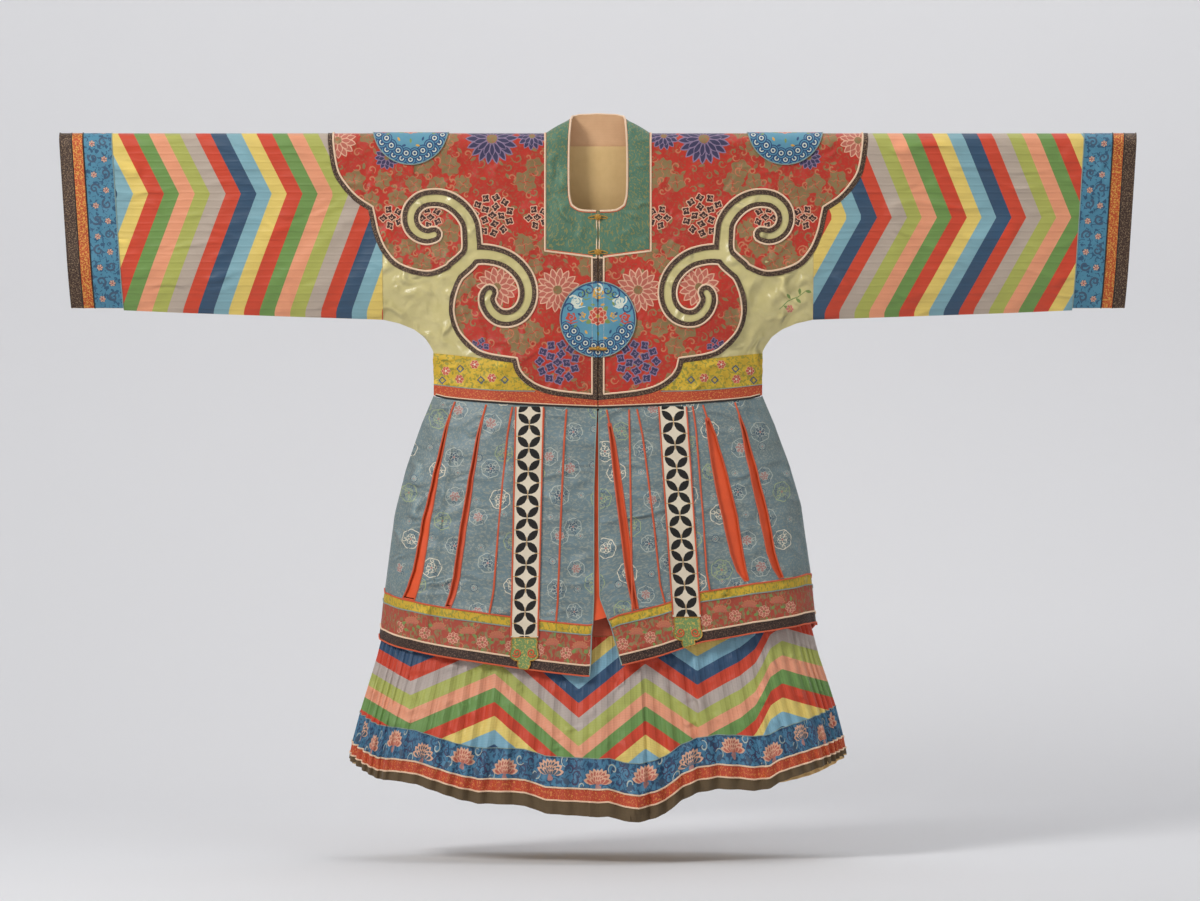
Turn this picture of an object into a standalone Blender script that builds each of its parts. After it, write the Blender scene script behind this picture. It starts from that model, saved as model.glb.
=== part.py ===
"""Theatrical robe: cloud yoke, striped sleeves, pleated peplum and underskirt, as cloth walls.

The robe hangs as on a hidden support. X runs along the sleeves, the front faces -Y, and the top fold of
the shoulders is at z = 0. Upper pieces are drawn flat, as a tailor does, in cloth coordinates: x along the
sleeves and t down from the shoulder fold, positive on the front and negative on the back. body_surface()
folds them over the shoulder. Skirt pieces are drawn on rings, by the angle round the wearer and the level
between ring rows.
"""

import math
from dataclasses import dataclass
from typing import Callable, List, Sequence, Tuple

import bpy
from mathutils import Vector
from mathutils.geometry import delaunay_2d_cdt

Point = Tuple[float, float]
Surface = Callable[[float, float, float], Vector]

for old in list(bpy.data.objects):
    bpy.data.objects.remove(old, do_unlink=True)

MM = 0.001

# Cloth thicknesses, and the room left between pieces
CLOTH = 1.6 * MM
BAND_CLOTH = 2.3 * MM
LAID_ON_GAP = 0.8 * MM
LAID_ON_CLOTH = 1.4 * MM
SEAM = 0.3 * MM
HALF_SEAM = SEAM / 2

# Shoulder fold and the room between front and back
FOLD_RADIUS = 22 * MM
FOLD_STEPS = 3
FOLD_QUARTER = FOLD_RADIUS * math.pi / 2
WAIST_DEPTH = 55 * MM
SLEEVE_CLOSING = 100 * MM
TORSO_CLOSING = 160 * MM
TORSO_FULL_X = 260 * MM
TORSO_GONE_X = 500 * MM
DEPTH_STARTS_T = 50 * MM

# Sleeves and cuffs, at the shoulder fold and at the bottom seam
ARMHOLE_X = 418 * MM
CUFF_SLANT = 23 * MM
STRIPES_END = 946 * MM
CUFF_BLUE_END = 1002 * MM
CUFF_END = 1048 * MM

# Neck and centre front
COLLAR_X = 103 * MM
COLLAR_CORNER_T = 242 * MM
COLLAR_CENTRE_T = 255 * MM
BACK_NECK_T = 64 * MM
OPENING = 0.8 * MM
BAND = 10.5 * MM

GRID = 50 * MM


@dataclass(frozen=True)
class Edge:
    """A point of an outline in cloth coordinates, millimetres.

    A corner ends one smooth run and starts the next.
    """
    x: float
    t: float
    corner: bool = False


# Outer edge of the cloud yoke, from the shoulder fold down to the centre front
YOKE_EDGE = [
    Edge(525, 0, True), Edge(524, 35), Edge(515, 87), Edge(497, 118), Edge(474, 143), Edge(446, 162, True),
    Edge(442, 180), Edge(435, 209), Edge(418, 246), Edge(387, 276), Edge(329, 291), Edge(282, 275),
    Edge(244, 255, True), Edge(275, 298), Edge(288, 348), Edge(277, 398), Edge(243, 437), Edge(213, 451),
    Edge(165, 459, True), Edge(160, 476), Edge(146, 494), Edge(118, 512), Edge(77, 523), Edge(0, 531, True),
]
ROW_ARMHOLE = 8
ROW_NOTCH = 12
ROW_YELLOW_TOP = 17
ROW_RED_TOP = 21

# The closed lower edge of the sleeve, the underarm curve and the side seam, in cloth coordinates
CLOSED_EDGE = [
    Edge(1060, 350), Edge(800, 361), Edge(600, 368), Edge(418, 374), Edge(387, 381), Edge(358, 393),
    Edge(338, 408), Edge(326, 425), Edge(319, 439), Edge(319, 500), Edge(319, 521),
]
SIDE_X = 319 * MM
SIDE_YELLOW_TOP_T = 439 * MM
SIDE_RED_TOP_T = 500 * MM
SIDE_WAIST_T = 521 * MM
CENTRE_WAIST_T = 546 * MM
CLOSED_UNDERARM = 3
CLOSED_SIDE = 8

# Where the satin, the yellow panel and the red strip meet under the arm, in cloth coordinates
SATIN_TIP = (266 * MM, 445 * MM)
RED_TOP_POINTS = [(190 * MM, 512.5 * MM), (250 * MM, 508 * MM)]
WAIST_XS = [0.0, 60 * MM, 120 * MM, 190 * MM, 250 * MM, SIDE_X]
WAIST_CURVE = 1.5

# The back neck's shoulder point, and points that hold the shoulder fold straight
BACK_NECK_SHOULDER = (82 * MM, 57 * MM)
FOLD_POINTS = [(200 * MM, 0.0), (300 * MM, 0.0), (400 * MM, 0.0)]


def smooth(value: float, start: float, end: float) -> float:
    """Ease from 0 at start to 1 at end."""
    part = min(1.0, max(0.0, (value - start) / (end - start)))
    return part * part * (3 - 2 * part)


def distance_to_path(x: float, t: float, path: Sequence[Point]) -> float:
    """Shortest way from a point to an open path."""
    best = 9.0
    for (ax, at), (bx, bt) in zip(path, path[1:]):
        length2 = (bx - ax) ** 2 + (bt - at) ** 2
        part = ((x - ax) * (bx - ax) + (t - at) * (bt - at)) / length2
        part = min(1.0, max(0.0, part))
        best = min(best, math.hypot(x - ax - part * (bx - ax), t - at - part * (bt - at)))
    return best


def run_of(rows: Sequence[Edge], pieces: int) -> List[Point]:
    """Smooth points through outline rows, in metres, with `pieces` spans a row and sharp corners kept."""
    points: List[Point] = []
    for i in range(len(rows) - 1):
        a, b = rows[i], rows[i + 1]
        before = rows[i - 1] if i > 0 and not a.corner else a
        after = rows[i + 2] if i + 2 < len(rows) and not b.corner else b
        for k in range(pieces):
            s = k / pieces
            s2, s3 = s * s, s * s * s
            w0, w1 = -s3 + 2 * s2 - s, 3 * s3 - 5 * s2 + 2
            w2, w3 = -3 * s3 + 4 * s2 + s, s3 - s2
            x = (w0 * before.x + w1 * a.x + w2 * b.x + w3 * after.x) / 2
            t = (w0 * before.t + w1 * a.t + w2 * b.t + w3 * after.t) / 2
            points.append((x * MM, t * MM))
    points.append((rows[-1].x * MM, rows[-1].t * MM))
    return points


SPANS = 2
YOKE_PATH = run_of(YOKE_EDGE, SPANS)
CLOSED_PATH = run_of([Edge(e.x, e.t, True) for e in CLOSED_EDGE], 1)
CLOSED_PATH_LONG = CLOSED_PATH + [(SIDE_X, CENTRE_WAIST_T + 100 * MM)]


def body_gap(x: float, down: float) -> float:
    """How far the inner face of the front lies from the middle plane."""
    torso = 1 - smooth(abs(x), TORSO_FULL_X, TORSO_GONE_X)
    deeper = (WAIST_DEPTH - FOLD_RADIUS) * smooth(down, DEPTH_STARTS_T, SIDE_WAIST_T)
    full = FOLD_RADIUS + deeper * torso
    closing = SLEEVE_CLOSING + (TORSO_CLOSING - SLEEVE_CLOSING) * torso
    near = min(1.0, distance_to_path(abs(x), down, CLOSED_PATH_LONG) / closing)
    return HALF_SEAM + (full - HALF_SEAM) * (1 - (1 - near) ** 2)


def body_inner(x: float, t: float) -> Vector:
    """The inner face of the upper body at cloth point (x, t)."""
    side = -1.0 if t >= 0 else 1.0
    down = abs(t)
    if down < FOLD_QUARTER:
        angle = down / FOLD_RADIUS
        return Vector((x, side * FOLD_RADIUS * math.sin(angle), FOLD_RADIUS * (math.cos(angle) - 1)))
    return Vector((x, side * body_gap(x, down), -FOLD_RADIUS - (down - FOLD_QUARTER)))


def body_surface(x: float, t: float, height: float) -> Vector:
    """The upper body at cloth point (x, t), `height` out from its inner face."""
    step = 2 * MM
    across = body_inner(x + step, t) - body_inner(x - step, t)
    if abs(abs(x) - SIDE_X) < 3 * step and abs(t) > SIDE_YELLOW_TOP_T - step:
        inwards = -step if x > 0 else step
        across = (body_inner(x, t) - body_inner(x + inwards, t)) * (1 if x > 0 else -1)
    low, high = t - step, t + step
    if t > FOLD_QUARTER:
        low = max(low, FOLD_QUARTER)
    along = body_inner(x, high) - body_inner(x, low)
    normal = along.cross(across).normalized()
    centre = Vector((x, 0, min(-FOLD_RADIUS, body_inner(x, t).z)))
    point = body_inner(x, t)
    if normal.dot(point - centre) < 0:
        normal.negate()
    return point + normal * height


def new_material(name: str, colour: Tuple[float, float, float], roughness: float, metallic: float = 0.0):
    """A plain cloth or metal colour."""
    material = bpy.data.materials.new(name)
    material.use_nodes = True
    shader = material.node_tree.nodes["Principled BSDF"]
    shader.inputs["Base Color"].default_value = (*colour, 1.0)
    shader.inputs["Roughness"].default_value = roughness
    shader.inputs["Metallic"].default_value = metallic
    return material


RED_BROCADE = new_material("red_brocade", (0.55, 0.04, 0.02), 0.6)
BROWN_METAL_BRAID = new_material("brown_metal_braid", (0.07, 0.04, 0.03), 0.5, 0.3)
CHARTREUSE_SATIN = new_material("chartreuse_satin", (0.62, 0.58, 0.25), 0.35)
YELLOW_BROCADE = new_material("yellow_brocade", (0.67, 0.46, 0.03), 0.55)
RED_SILK = new_material("red_silk", (0.58, 0.07, 0.03), 0.6)
STRIPED_SILK = new_material("striped_silk", (0.42, 0.20, 0.12), 0.55)
BLUE_CUFF_SILK = new_material("blue_cuff_silk", (0.08, 0.29, 0.43), 0.55)
GOLD_BROWN_BRAID = new_material("gold_brown_braid", (0.32, 0.12, 0.04), 0.5, 0.3)
GREEN_BROCADE = new_material("green_brocade", (0.11, 0.27, 0.19), 0.55)
TAN_LINING = new_material("tan_lining", (0.48, 0.33, 0.15), 0.8)
BADGE_EMBROIDERY = new_material("badge_embroidery", (0.10, 0.33, 0.50), 0.55)
BLUE_BROCADE = new_material("blue_brocade", (0.20, 0.34, 0.42), 0.55)
ORANGE_SILK = new_material("orange_silk", (0.75, 0.08, 0.02), 0.6)
FLORAL_RED = new_material("floral_red", (0.38, 0.06, 0.03), 0.6)
BLACK_BROWN_BRAID = new_material("black_brown_braid", (0.03, 0.02, 0.02), 0.5, 0.2)
WHITE_RIBBON = new_material("white_ribbon", (0.80, 0.74, 0.68), 0.55)
GREEN_PENDANT = new_material("green_pendant", (0.16, 0.30, 0.17), 0.6)
SALMON_SILK = new_material("salmon_silk", (0.62, 0.16, 0.09), 0.65)
LOTUS_BLUE = new_material("lotus_blue", (0.07, 0.19, 0.32), 0.55)
TAUPE_COTTON = new_material("taupe_cotton", (0.18, 0.13, 0.08), 0.8)
GOLD_CORD = new_material("gold_cord", (0.60, 0.38, 0.10), 0.4, 0.6)


def area_of(polygon: Sequence[Point]) -> float:
    """Signed area of a polygon, positive when it runs anticlockwise."""
    return sum(a[0] * b[1] - b[0] * a[1] for a, b in zip(polygon, list(polygon[1:]) + [polygon[0]])) / 2


def inset(polygon: Sequence[Point], by: float) -> List[Point]:
    """A polygon drawn in from its edges, mitred at corners."""
    turn = 1.0 if area_of(polygon) > 0 else -1.0
    count = len(polygon)
    result: List[Point] = []
    for i, (x, t) in enumerate(polygon):
        px, pt = polygon[i - 1]
        nx, nt = polygon[(i + 1) % count]
        ax, at = _unit(x - px, t - pt)
        bx, bt = _unit(nx - x, nt - t)
        mx, mt = -(at + bt) * turn, (ax + bx) * turn
        size = math.hypot(mx, mt)
        if size < 0.2:
            mx, mt, size = ax - bx, at - bt, math.hypot(ax - bx, at - bt)
        cosine = max(0.35, (-at * turn * mx + ax * turn * mt) / size)
        result.append((x + mx / size * by / cosine, t + mt / size * by / cosine))
    return result


def _unit(x: float, y: float) -> Point:
    """A direction of length one."""
    size = math.hypot(x, y) or 1.0
    return x / size, y / size


def inside(x: float, t: float, polygon: Sequence[Point]) -> bool:
    """Whether a point lies in a polygon."""
    found = False
    for (ax, at), (bx, bt) in zip(polygon, list(polygon[1:]) + [polygon[0]]):
        if (at > t) != (bt > t) and x < ax + (t - at) / (bt - at) * (bx - ax):
            found = not found
    return found


def finish_object(name: str, vertices: Sequence[Vector], faces: Sequence[Sequence[int]], material) -> None:
    """Make a named object of a closed mesh."""
    mesh = bpy.data.meshes.new(name)
    mesh.from_pydata([tuple(v) for v in vertices], [], [tuple(f) for f in faces])
    mesh.materials.append(material)
    mesh.shade_smooth()
    mesh.set_sharp_from_angle(angle=math.radians(40))
    thing = bpy.data.objects.new(name, mesh)
    bpy.context.scene.collection.objects.link(thing)


def flip_if_inside_out(vertices: Sequence[Vector], faces: List[List[int]]) -> List[List[int]]:
    """Faces that point out, told by the sign of the closed volume."""
    volume = 0.0
    for face in faces:
        for k in range(1, len(face) - 1):
            volume += vertices[face[0]].dot(vertices[face[k]].cross(vertices[face[k + 1]]))
    return faces if volume > 0 else [list(reversed(face)) for face in faces]


def wall_from_faces(name: str, count: int, faces: Sequence[Sequence[int]], outer: Sequence[Vector],
                    inner: Sequence[Vector], material) -> None:
    """Close a sheet of faces into a wall with an outer and an inner face and a rim."""
    edges = {}
    for face in faces:
        for a, b in zip(face, list(face[1:]) + [face[0]]):
            edges[(a, b)] = True
    solid = [list(face) for face in faces]
    solid += [[v + count for v in reversed(face)] for face in faces]
    solid += [[b, a, a + count, b + count] for (a, b) in edges if (b, a) not in edges]
    vertices = list(outer) + list(inner)
    finish_object(name, vertices, flip_if_inside_out(vertices, solid), material)


def grid_rows(spacing: float, far: float) -> List[float]:
    """Cloth rows: the steps of the shoulder fold, then even rows below it, on front and back."""
    rows = [FOLD_QUARTER * k / FOLD_STEPS for k in range(FOLD_STEPS + 1)]
    while rows[-1] + spacing < far:
        rows.append(rows[-1] + spacing)
    return sorted({-row for row in rows} | set(rows))


def region_wall(name: str, outline: Sequence[Point], surface: Surface, low: float, high: float, material,
                rows: Sequence[float], columns: Sequence[float], holes: Sequence[Sequence[Point]] = (),
                margin: float = 0.012) -> None:
    """A cloth piece cut to an outline, filled with triangles that keep to the given rows and columns.

    Args:
        outline: the piece's cut, in flat coordinates.
        surface: carries a flat point and a height to space.
        low: height of the inner face.
        high: height of the outer face.
        rows: second coordinates that inner points keep to.
        columns: first coordinates that inner points keep to.
        holes: slits cut through the piece.
        margin: least way from an inner point to an edge.
    """
    outline = list(outline)
    points = list(outline)
    edges = [(i, (i + 1) % len(outline)) for i in range(len(outline))]
    for hole in holes:
        start = len(points)
        points += list(hole)
        edges += [(start + i, start + (i + 1) % len(hole)) for i in range(len(hole))]
    loops = [outline + outline[:1]] + [list(hole) + [hole[0]] for hole in holes]
    for row in rows:
        previous = None
        for column in columns:
            clear = inside(column, row, outline) and not any(inside(column, row, hole) for hole in holes)
            if clear and min(distance_to_path(column, row, loop) for loop in loops) > margin:
                points.append((column, row))
                if previous is not None:
                    edges.append((previous, len(points) - 1))
                previous = len(points) - 1
            else:
                previous = None
    flat, _, triangles, _, _, _ = delaunay_2d_cdt([Vector(p) for p in points], edges, [], 0, 1e-7)
    kept = []
    for triangle in triangles:
        cx = sum(flat[v].x for v in triangle) / 3
        ct = sum(flat[v].y for v in triangle) / 3
        if inside(cx, ct, outline) and not any(inside(cx, ct, hole) for hole in holes):
            kept.append(list(triangle))
    used = sorted({v for triangle in kept for v in triangle})
    place = {v: i for i, v in enumerate(used)}
    kept = [[place[v] for v in triangle] for triangle in kept]
    outer = [surface(flat[v].x, flat[v].y, high) for v in used]
    inner = [surface(flat[v].x, flat[v].y, low) for v in used]
    wall_from_faces(name, len(used), kept, outer, inner, material)


def grid_wall(name: str, outer: Sequence[Sequence[Vector]], inner: Sequence[Sequence[Vector]], material,
              closed: bool = False) -> None:
    """A wall from rows of outer and inner points; a closed one joins the end of each row to its start."""
    width = len(outer[0])
    faces = []
    for row in range(len(outer) - 1):
        for k in range(width if closed else width - 1):
            a, b = row * width + k, row * width + (k + 1) % width
            faces.append([a, b, b + width, a + width])
    flat_outer = [p for row in outer for p in row]
    flat_inner = [p for row in inner for p in row]
    wall_from_faces(name, len(flat_outer), faces, flat_outer, flat_inner, material)


def mirrored(path: Sequence[Point]) -> List[Point]:
    """A path on the other side of the centre line."""
    return [(-x, t) for x, t in path]


def to_back(path: Sequence[Point]) -> List[Point]:
    """A path laid on the back."""
    return [(x, -t) for x, t in path]


def joined(*paths: Sequence[Point]) -> List[Point]:
    """Paths in a row, with doubled points left out."""
    result: List[Point] = []
    for path in paths:
        for point in path:
            if not result or math.hypot(point[0] - result[-1][0], point[1] - result[-1][1]) > 0.2 * MM:
                result.append(point)
    if math.hypot(result[0][0] - result[-1][0], result[0][1] - result[-1][1]) < 0.2 * MM:
        result.pop()
    return result


def down_a_line(x: float, start: float, end: float, spacing: float = GRID) -> List[Point]:
    """Points along a line of constant x, kept to the steps of the shoulder fold."""
    low, high = sorted((start, end))
    rows = [row for row in grid_rows(spacing, 0.6) if low + 4 * MM < row < high - 4 * MM]
    path = [(x, low)] + [(x, row) for row in rows] + [(x, high)]
    return path if start < end else path[::-1]


def yoke_rows(first: int, last: int) -> List[Point]:
    """The yoke's edge between two of its table rows."""
    return YOKE_PATH[first * SPANS:last * SPANS + 1]


ALL_ROWS = grid_rows(GRID, 0.56)
ALL_COLUMNS = [GRID * k for k in range(-22, 23)]
LAST_ROW = len(YOKE_EDGE) - 1


def inner_yoke_path() -> List[Point]:
    """The yoke's edge drawn in by the width of its band, from the fold to the centre front."""
    closed = joined(YOKE_PATH, [(0.0, 0.20), (0.20, -0.10), (0.525, -0.10)])
    drawn = inset(closed, BAND)
    path = drawn[:len(YOKE_PATH)]
    path[0] = (path[0][0], 0.0)
    path[-1] = (0.0, path[-1][1])
    return path


INNER_YOKE_PATH = inner_yoke_path()


def make_yoke() -> None:
    """The red yoke inside its band: two fronts and a back."""
    collar_front = [(COLLAR_X / 2, (COLLAR_CENTRE_T + COLLAR_CORNER_T) / 2), (COLLAR_X, COLLAR_CORNER_T)]
    edge_x = OPENING + BAND
    lower = [p for p in INNER_YOKE_PATH if p[0] > edge_x + 8 * MM]
    foot = (edge_x, INNER_YOKE_PATH[-1][1])
    front = joined(lower, down_a_line(edge_x, foot[1], COLLAR_CENTRE_T), collar_front,
                   down_a_line(COLLAR_X, COLLAR_CORNER_T, 0.0), FOLD_POINTS)
    for side, name in ((1, "yoke_front_right"), (-1, "yoke_front_left")):
        outline = inset(front if side > 0 else mirrored(front), HALF_SEAM)
        region_wall(name, outline, body_surface, 0.0, CLOTH, RED_BROCADE, ALL_ROWS, ALL_COLUMNS)
    neck = down_a_line(COLLAR_X, 0.0, FOLD_QUARTER) + [BACK_NECK_SHOULDER]
    half = joined(INNER_YOKE_PATH[::-1], FOLD_POINTS[::-1], neck)
    back = to_back(joined(half, [(0.0, BACK_NECK_T)], mirrored(half)[::-1]))
    region_wall("yoke_back", inset(back, HALF_SEAM), body_surface, 0.0, CLOTH, RED_BROCADE,
                ALL_ROWS, ALL_COLUMNS)


def make_yoke_band() -> None:
    """The dark braid along the yoke's edge and down the centre front."""
    edge_x = OPENING + BAND
    outer = joined([p for p in YOKE_PATH if p[0] > OPENING + 8 * MM], [(OPENING, YOKE_PATH[-1][1])])
    foot = (edge_x, INNER_YOKE_PATH[-1][1])
    inner = joined([p for p in INNER_YOKE_PATH if p[0] > edge_x + 8 * MM], [foot])
    front = joined(outer, down_a_line(OPENING, outer[-1][1], COLLAR_CENTRE_T),
                   down_a_line(edge_x, COLLAR_CENTRE_T, inner[-1][1]), inner[::-1])
    for side, name in ((1, "yoke_band_front_right"), (-1, "yoke_band_front_left")):
        outline = inset(front if side > 0 else mirrored(front), HALF_SEAM)
        region_wall(name, outline, body_surface, 0.0, BAND_CLOTH, BROWN_METAL_BRAID, [], [])
    back = joined(YOKE_PATH, mirrored(YOKE_PATH)[::-1], mirrored(INNER_YOKE_PATH), INNER_YOKE_PATH[::-1])
    region_wall("yoke_band_back", inset(to_back(back), HALF_SEAM), body_surface, 0.0, BAND_CLOTH,
                BROWN_METAL_BRAID, [], [])


def make_underarm_and_waist() -> None:
    """The satin at the underarm, the yellow waist panel and the red strip above the waist seam."""
    armhole = down_a_line(ARMHOLE_X, CLOSED_PATH[CLOSED_UNDERARM][1], YOKE_PATH[ROW_ARMHOLE * SPANS][1])
    underarm = joined(yoke_rows(ROW_ARMHOLE, ROW_YELLOW_TOP), [SATIN_TIP],
                      CLOSED_PATH[CLOSED_UNDERARM:CLOSED_SIDE + 1][::-1], armhole)
    yellow = joined(yoke_rows(ROW_YELLOW_TOP, ROW_RED_TOP), RED_TOP_POINTS,
                    [(SIDE_X, SIDE_RED_TOP_T), (SIDE_X, SIDE_YELLOW_TOP_T), SATIN_TIP])
    red_upper = joined([(SIDE_X, SIDE_RED_TOP_T)], RED_TOP_POINTS[::-1], yoke_rows(ROW_RED_TOP, LAST_ROW))
    red_lower = [waist_point(x) for x in WAIST_XS]
    for side, hand in ((1, "right"), (-1, "left")):
        for back in (False, True):
            place = ("back_" if back else "front_") + hand
            outline = underarm if side > 0 else mirrored(underarm)
            outline = to_back(outline) if back else outline
            region_wall("underarm_" + place, inset(outline, HALF_SEAM), body_surface, 0.0, CLOTH,
                        CHARTREUSE_SATIN, ALL_ROWS, ALL_COLUMNS)
            outline = yellow if side > 0 else mirrored(yellow)
            outline = to_back(outline) if back else outline
            region_wall("waist_yellow_" + place, inset(outline, HALF_SEAM), body_surface, 0.0, CLOTH,
                        YELLOW_BROCADE, [], [])
        upper = [p for p in red_upper if p[0] > OPENING + 8 * MM] + [(OPENING, YOKE_PATH[-1][1])]
        lower = [(OPENING, CENTRE_WAIST_T)] + red_lower[1:]
        strip = joined(upper, lower)
        region_wall("waist_red_front_" + hand, inset(strip if side > 0 else mirrored(strip), HALF_SEAM),
                    body_surface, 0.0, CLOTH, RED_SILK, [], [])
    strip = joined(red_upper, mirrored(red_upper)[::-1], mirrored(red_lower)[::-1], red_lower)
    region_wall("waist_red_back", inset(to_back(strip), HALF_SEAM), body_surface, 0.0, CLOTH, RED_SILK,
                [], [])


def waist_point(x: float) -> Point:
    """The waist seam at x, which dips towards the centre."""
    dip = 1 - (abs(x) / SIDE_X) ** WAIST_CURVE
    return x, SIDE_WAIST_T + (CENTRE_WAIST_T - SIDE_WAIST_T) * dip


def sleeve_bottom(x: float) -> float:
    """Cloth depth of the sleeve's lower seam at x."""
    for (ax, at), (bx, bt) in zip(CLOSED_PATH, CLOSED_PATH[1:]):
        if bx <= x <= ax:
            return at + (bt - at) * (ax - x) / (ax - bx)
    return CLOSED_PATH[0][1]


def slanted(top_x: float, t: float) -> float:
    """A cuff line, which leans towards the body as it goes down."""
    return top_x - CUFF_SLANT * abs(t) / sleeve_bottom(top_x)


def cuff_line(top_x: float) -> List[Point]:
    """A cuff line from the back's lower seam over the fold to the front's."""
    bottom = sleeve_bottom(top_x) - HALF_SEAM
    return [(slanted(top_x, t), t) for _, t in down_a_line(0.0, -bottom, bottom)]


def make_sleeves() -> None:
    """Striped sleeves and their cuffs, each one cloth from the back seam over the fold to the front seam."""
    inner_edge = yoke_rows(0, ROW_ARMHOLE)
    armhole = down_a_line(ARMHOLE_X, inner_edge[-1][1], CLOSED_PATH[CLOSED_UNDERARM][1])
    half = joined(inner_edge, armhole)
    outer_line = cuff_line(STRIPES_END)
    bottom_xs = [0.50, 0.60, 0.70, 0.80, 0.87]
    front_bottom = [(x, sleeve_bottom(x)) for x in bottom_xs]
    outline = joined(to_back(half)[::-1], half, front_bottom, outer_line[::-1], to_back(front_bottom)[::-1])
    for side, hand in ((1, "right"), (-1, "left")):
        shape = outline if side > 0 else mirrored(outline)
        region_wall("sleeve_" + hand, inset(shape, HALF_SEAM), body_surface, 0.0, CLOTH, STRIPED_SILK,
                    ALL_ROWS, [c for c in ALL_COLUMNS if round(c / GRID) % 2 == 0])
        for name, start, end, material in (("cuff_blue_", STRIPES_END, CUFF_BLUE_END, BLUE_CUFF_SILK),
                                           ("cuff_edge_", CUFF_BLUE_END, CUFF_END, GOLD_BROWN_BRAID)):
            lines = [[(side * x, t) for x, t in cuff_line(top)] for top in (start + SEAM, end)]
            outer = [[body_surface(x, t, CLOTH) for x, t in line] for line in lines]
            inner = [[body_surface(x, t, 0.0) for x, t in line] for line in lines]
            grid_wall(name + hand, outer, inner, material)


@dataclass(frozen=True)
class CollarRow:
    """A line across the collar, millimetres: its ends on the body and at the neck, and how far that lifts."""
    outer_x: float
    outer_t: float
    neck_x: float
    neck_t: float
    lift_y: float
    lift_z: float


COLLAR_ROWS = [
    CollarRow(0.8, 254.8, 0.8, 164, 0, 0), CollarRow(52, 248, 34, 162, 0, 0),
    CollarRow(102.7, 241.7, 51, 152, 0, 0), CollarRow(102.7, 184.6, 56, 130, 0, 0),
    CollarRow(102.7, 84.6, 57, 80, 0, 0),
    CollarRow(102.6, 34.6, 56, 34.6, 3, 12), CollarRow(102.2, 11.5, 53, 11.5, 4, 24),
    CollarRow(101.8, -11.5, 51, -11.5, 2, 33), CollarRow(101.4, -34.6, 47, -34.6, 6, 58),
    CollarRow(80.6, -55.4, 36, -40, 9, 67), CollarRow(42, -58.9, 19, -42, 11, 70),
    CollarRow(0, -62.2, 0, -42, 12, 71),
]


def make_collar() -> None:
    """The collar: flat and square on the front, rising over the shoulders, standing at the back neck."""
    half = []
    for row in COLLAR_ROWS:
        start = body_inner(row.outer_x * MM, row.outer_t * MM)
        end = body_inner(row.neck_x * MM, row.neck_t * MM) + Vector((0, row.lift_y, row.lift_z)) * MM
        half.append([start, start.lerp(end, 0.5), end])
    other = [[Vector((-p.x, p.y, p.z)) for p in line] for line in reversed(half[:-1])]
    lines = half + other
    outer, inner = [], []
    for i, line in enumerate(lines):
        along = lines[min(i + 1, len(lines) - 1)][1] - lines[max(i - 1, 0)][1]
        normal = along.cross(line[2] - line[0]).normalized()
        if normal.dot(line[1] - Vector((0, 0.0, -0.06))) < 0:
            normal.negate()
        inner.append(line)
        outer.append([p + normal * CLOTH for p in line])
    grid_wall("collar", outer, inner, GREEN_BROCADE)


def make_lining() -> None:
    """The tan lining of the back, where it shows through the neck."""
    rows = [row for row in ALL_ROWS if -0.24 < row < -0.03]
    columns = [-0.1, -0.05, 0.0, 0.05, 0.1]
    outer = [[body_surface(x, t, -0.4 * MM) for x in columns] for t in rows]
    inner = [[body_surface(x, t, -1.4 * MM) for x in columns] for t in rows]
    grid_wall("lining_back", outer, inner, TAN_LINING)


BADGE_RADIUS = 74 * MM
BADGE_CENTRE_T = 375 * MM
SHOULDER_BADGE_X = 364 * MM
BADGE_SPANS = 8


def badge_rows(centre_x: float, rows: Sequence[Tuple[float, float]], columns: Sequence[float],
               low: float, high: float):
    """Points of a round badge: rows of (t, half width), each spread over shares of that half width."""
    outer = [[body_surface(centre_x + c * half, t, high) for c in columns] for t, half in rows]
    inner = [[body_surface(centre_x + c * half, t, low) for c in columns] for t, half in rows]
    return outer, inner


def make_badges() -> None:
    """Round embroidered badges laid on the yoke: chest, back and both shoulders."""
    low, high = CLOTH + LAID_ON_GAP, CLOTH + LAID_ON_GAP + LAID_ON_CLOTH
    angles = [math.pi * (0.06 + 0.88 * k / BADGE_SPANS) for k in range(BADGE_SPANS + 1)]
    arc = [(BADGE_CENTRE_T - BADGE_RADIUS * math.cos(a), BADGE_RADIUS * math.sin(a)) for a in angles]
    for side, name in ((1, "badge_chest_right"), (-1, "badge_chest_left")):
        outer, inner = [], []
        for t, half in arc:
            xs = [side * (OPENING + (half - OPENING) * c) for c in (0.0, 0.5, 1.0)]
            outer.append([body_surface(x, t, high + 0.7 * MM) for x in xs])
            inner.append([body_surface(x, t, low + 0.7 * MM) for x in xs])
        grid_wall(name, outer, inner, BADGE_EMBROIDERY)
    back = [(-t, half) for t, half in arc]
    outer, inner = badge_rows(0.0, back, (-1.0, -0.5, 0.0, 0.5, 1.0), low, high)
    grid_wall("badge_back", outer, inner, BADGE_EMBROIDERY)
    inner_rows = [row for row in grid_rows(GRID / 2, 0.2) if abs(row) < BADGE_RADIUS * 0.9]
    rows = [-BADGE_RADIUS * 0.98] + inner_rows + [BADGE_RADIUS * 0.98]
    spread = [(t, math.sqrt(BADGE_RADIUS ** 2 - t * t)) for t in rows]
    for side, name in ((1, "badge_shoulder_right"), (-1, "badge_shoulder_left")):
        outer, inner = badge_rows(side * SHOULDER_BADGE_X, spread, (-1.0, -0.33, 0.33, 1.0), low, high)
        grid_wall(name, outer, inner, BADGE_EMBROIDERY)


@dataclass(frozen=True)
class Ring:
    """A level of a skirt, millimetres: half width, height at sides and middle, half depth, roundness."""
    name: str
    half_width: float
    side_z: float
    middle_z: float
    depth: float
    closing: float
    power: float
    wave: float


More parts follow.
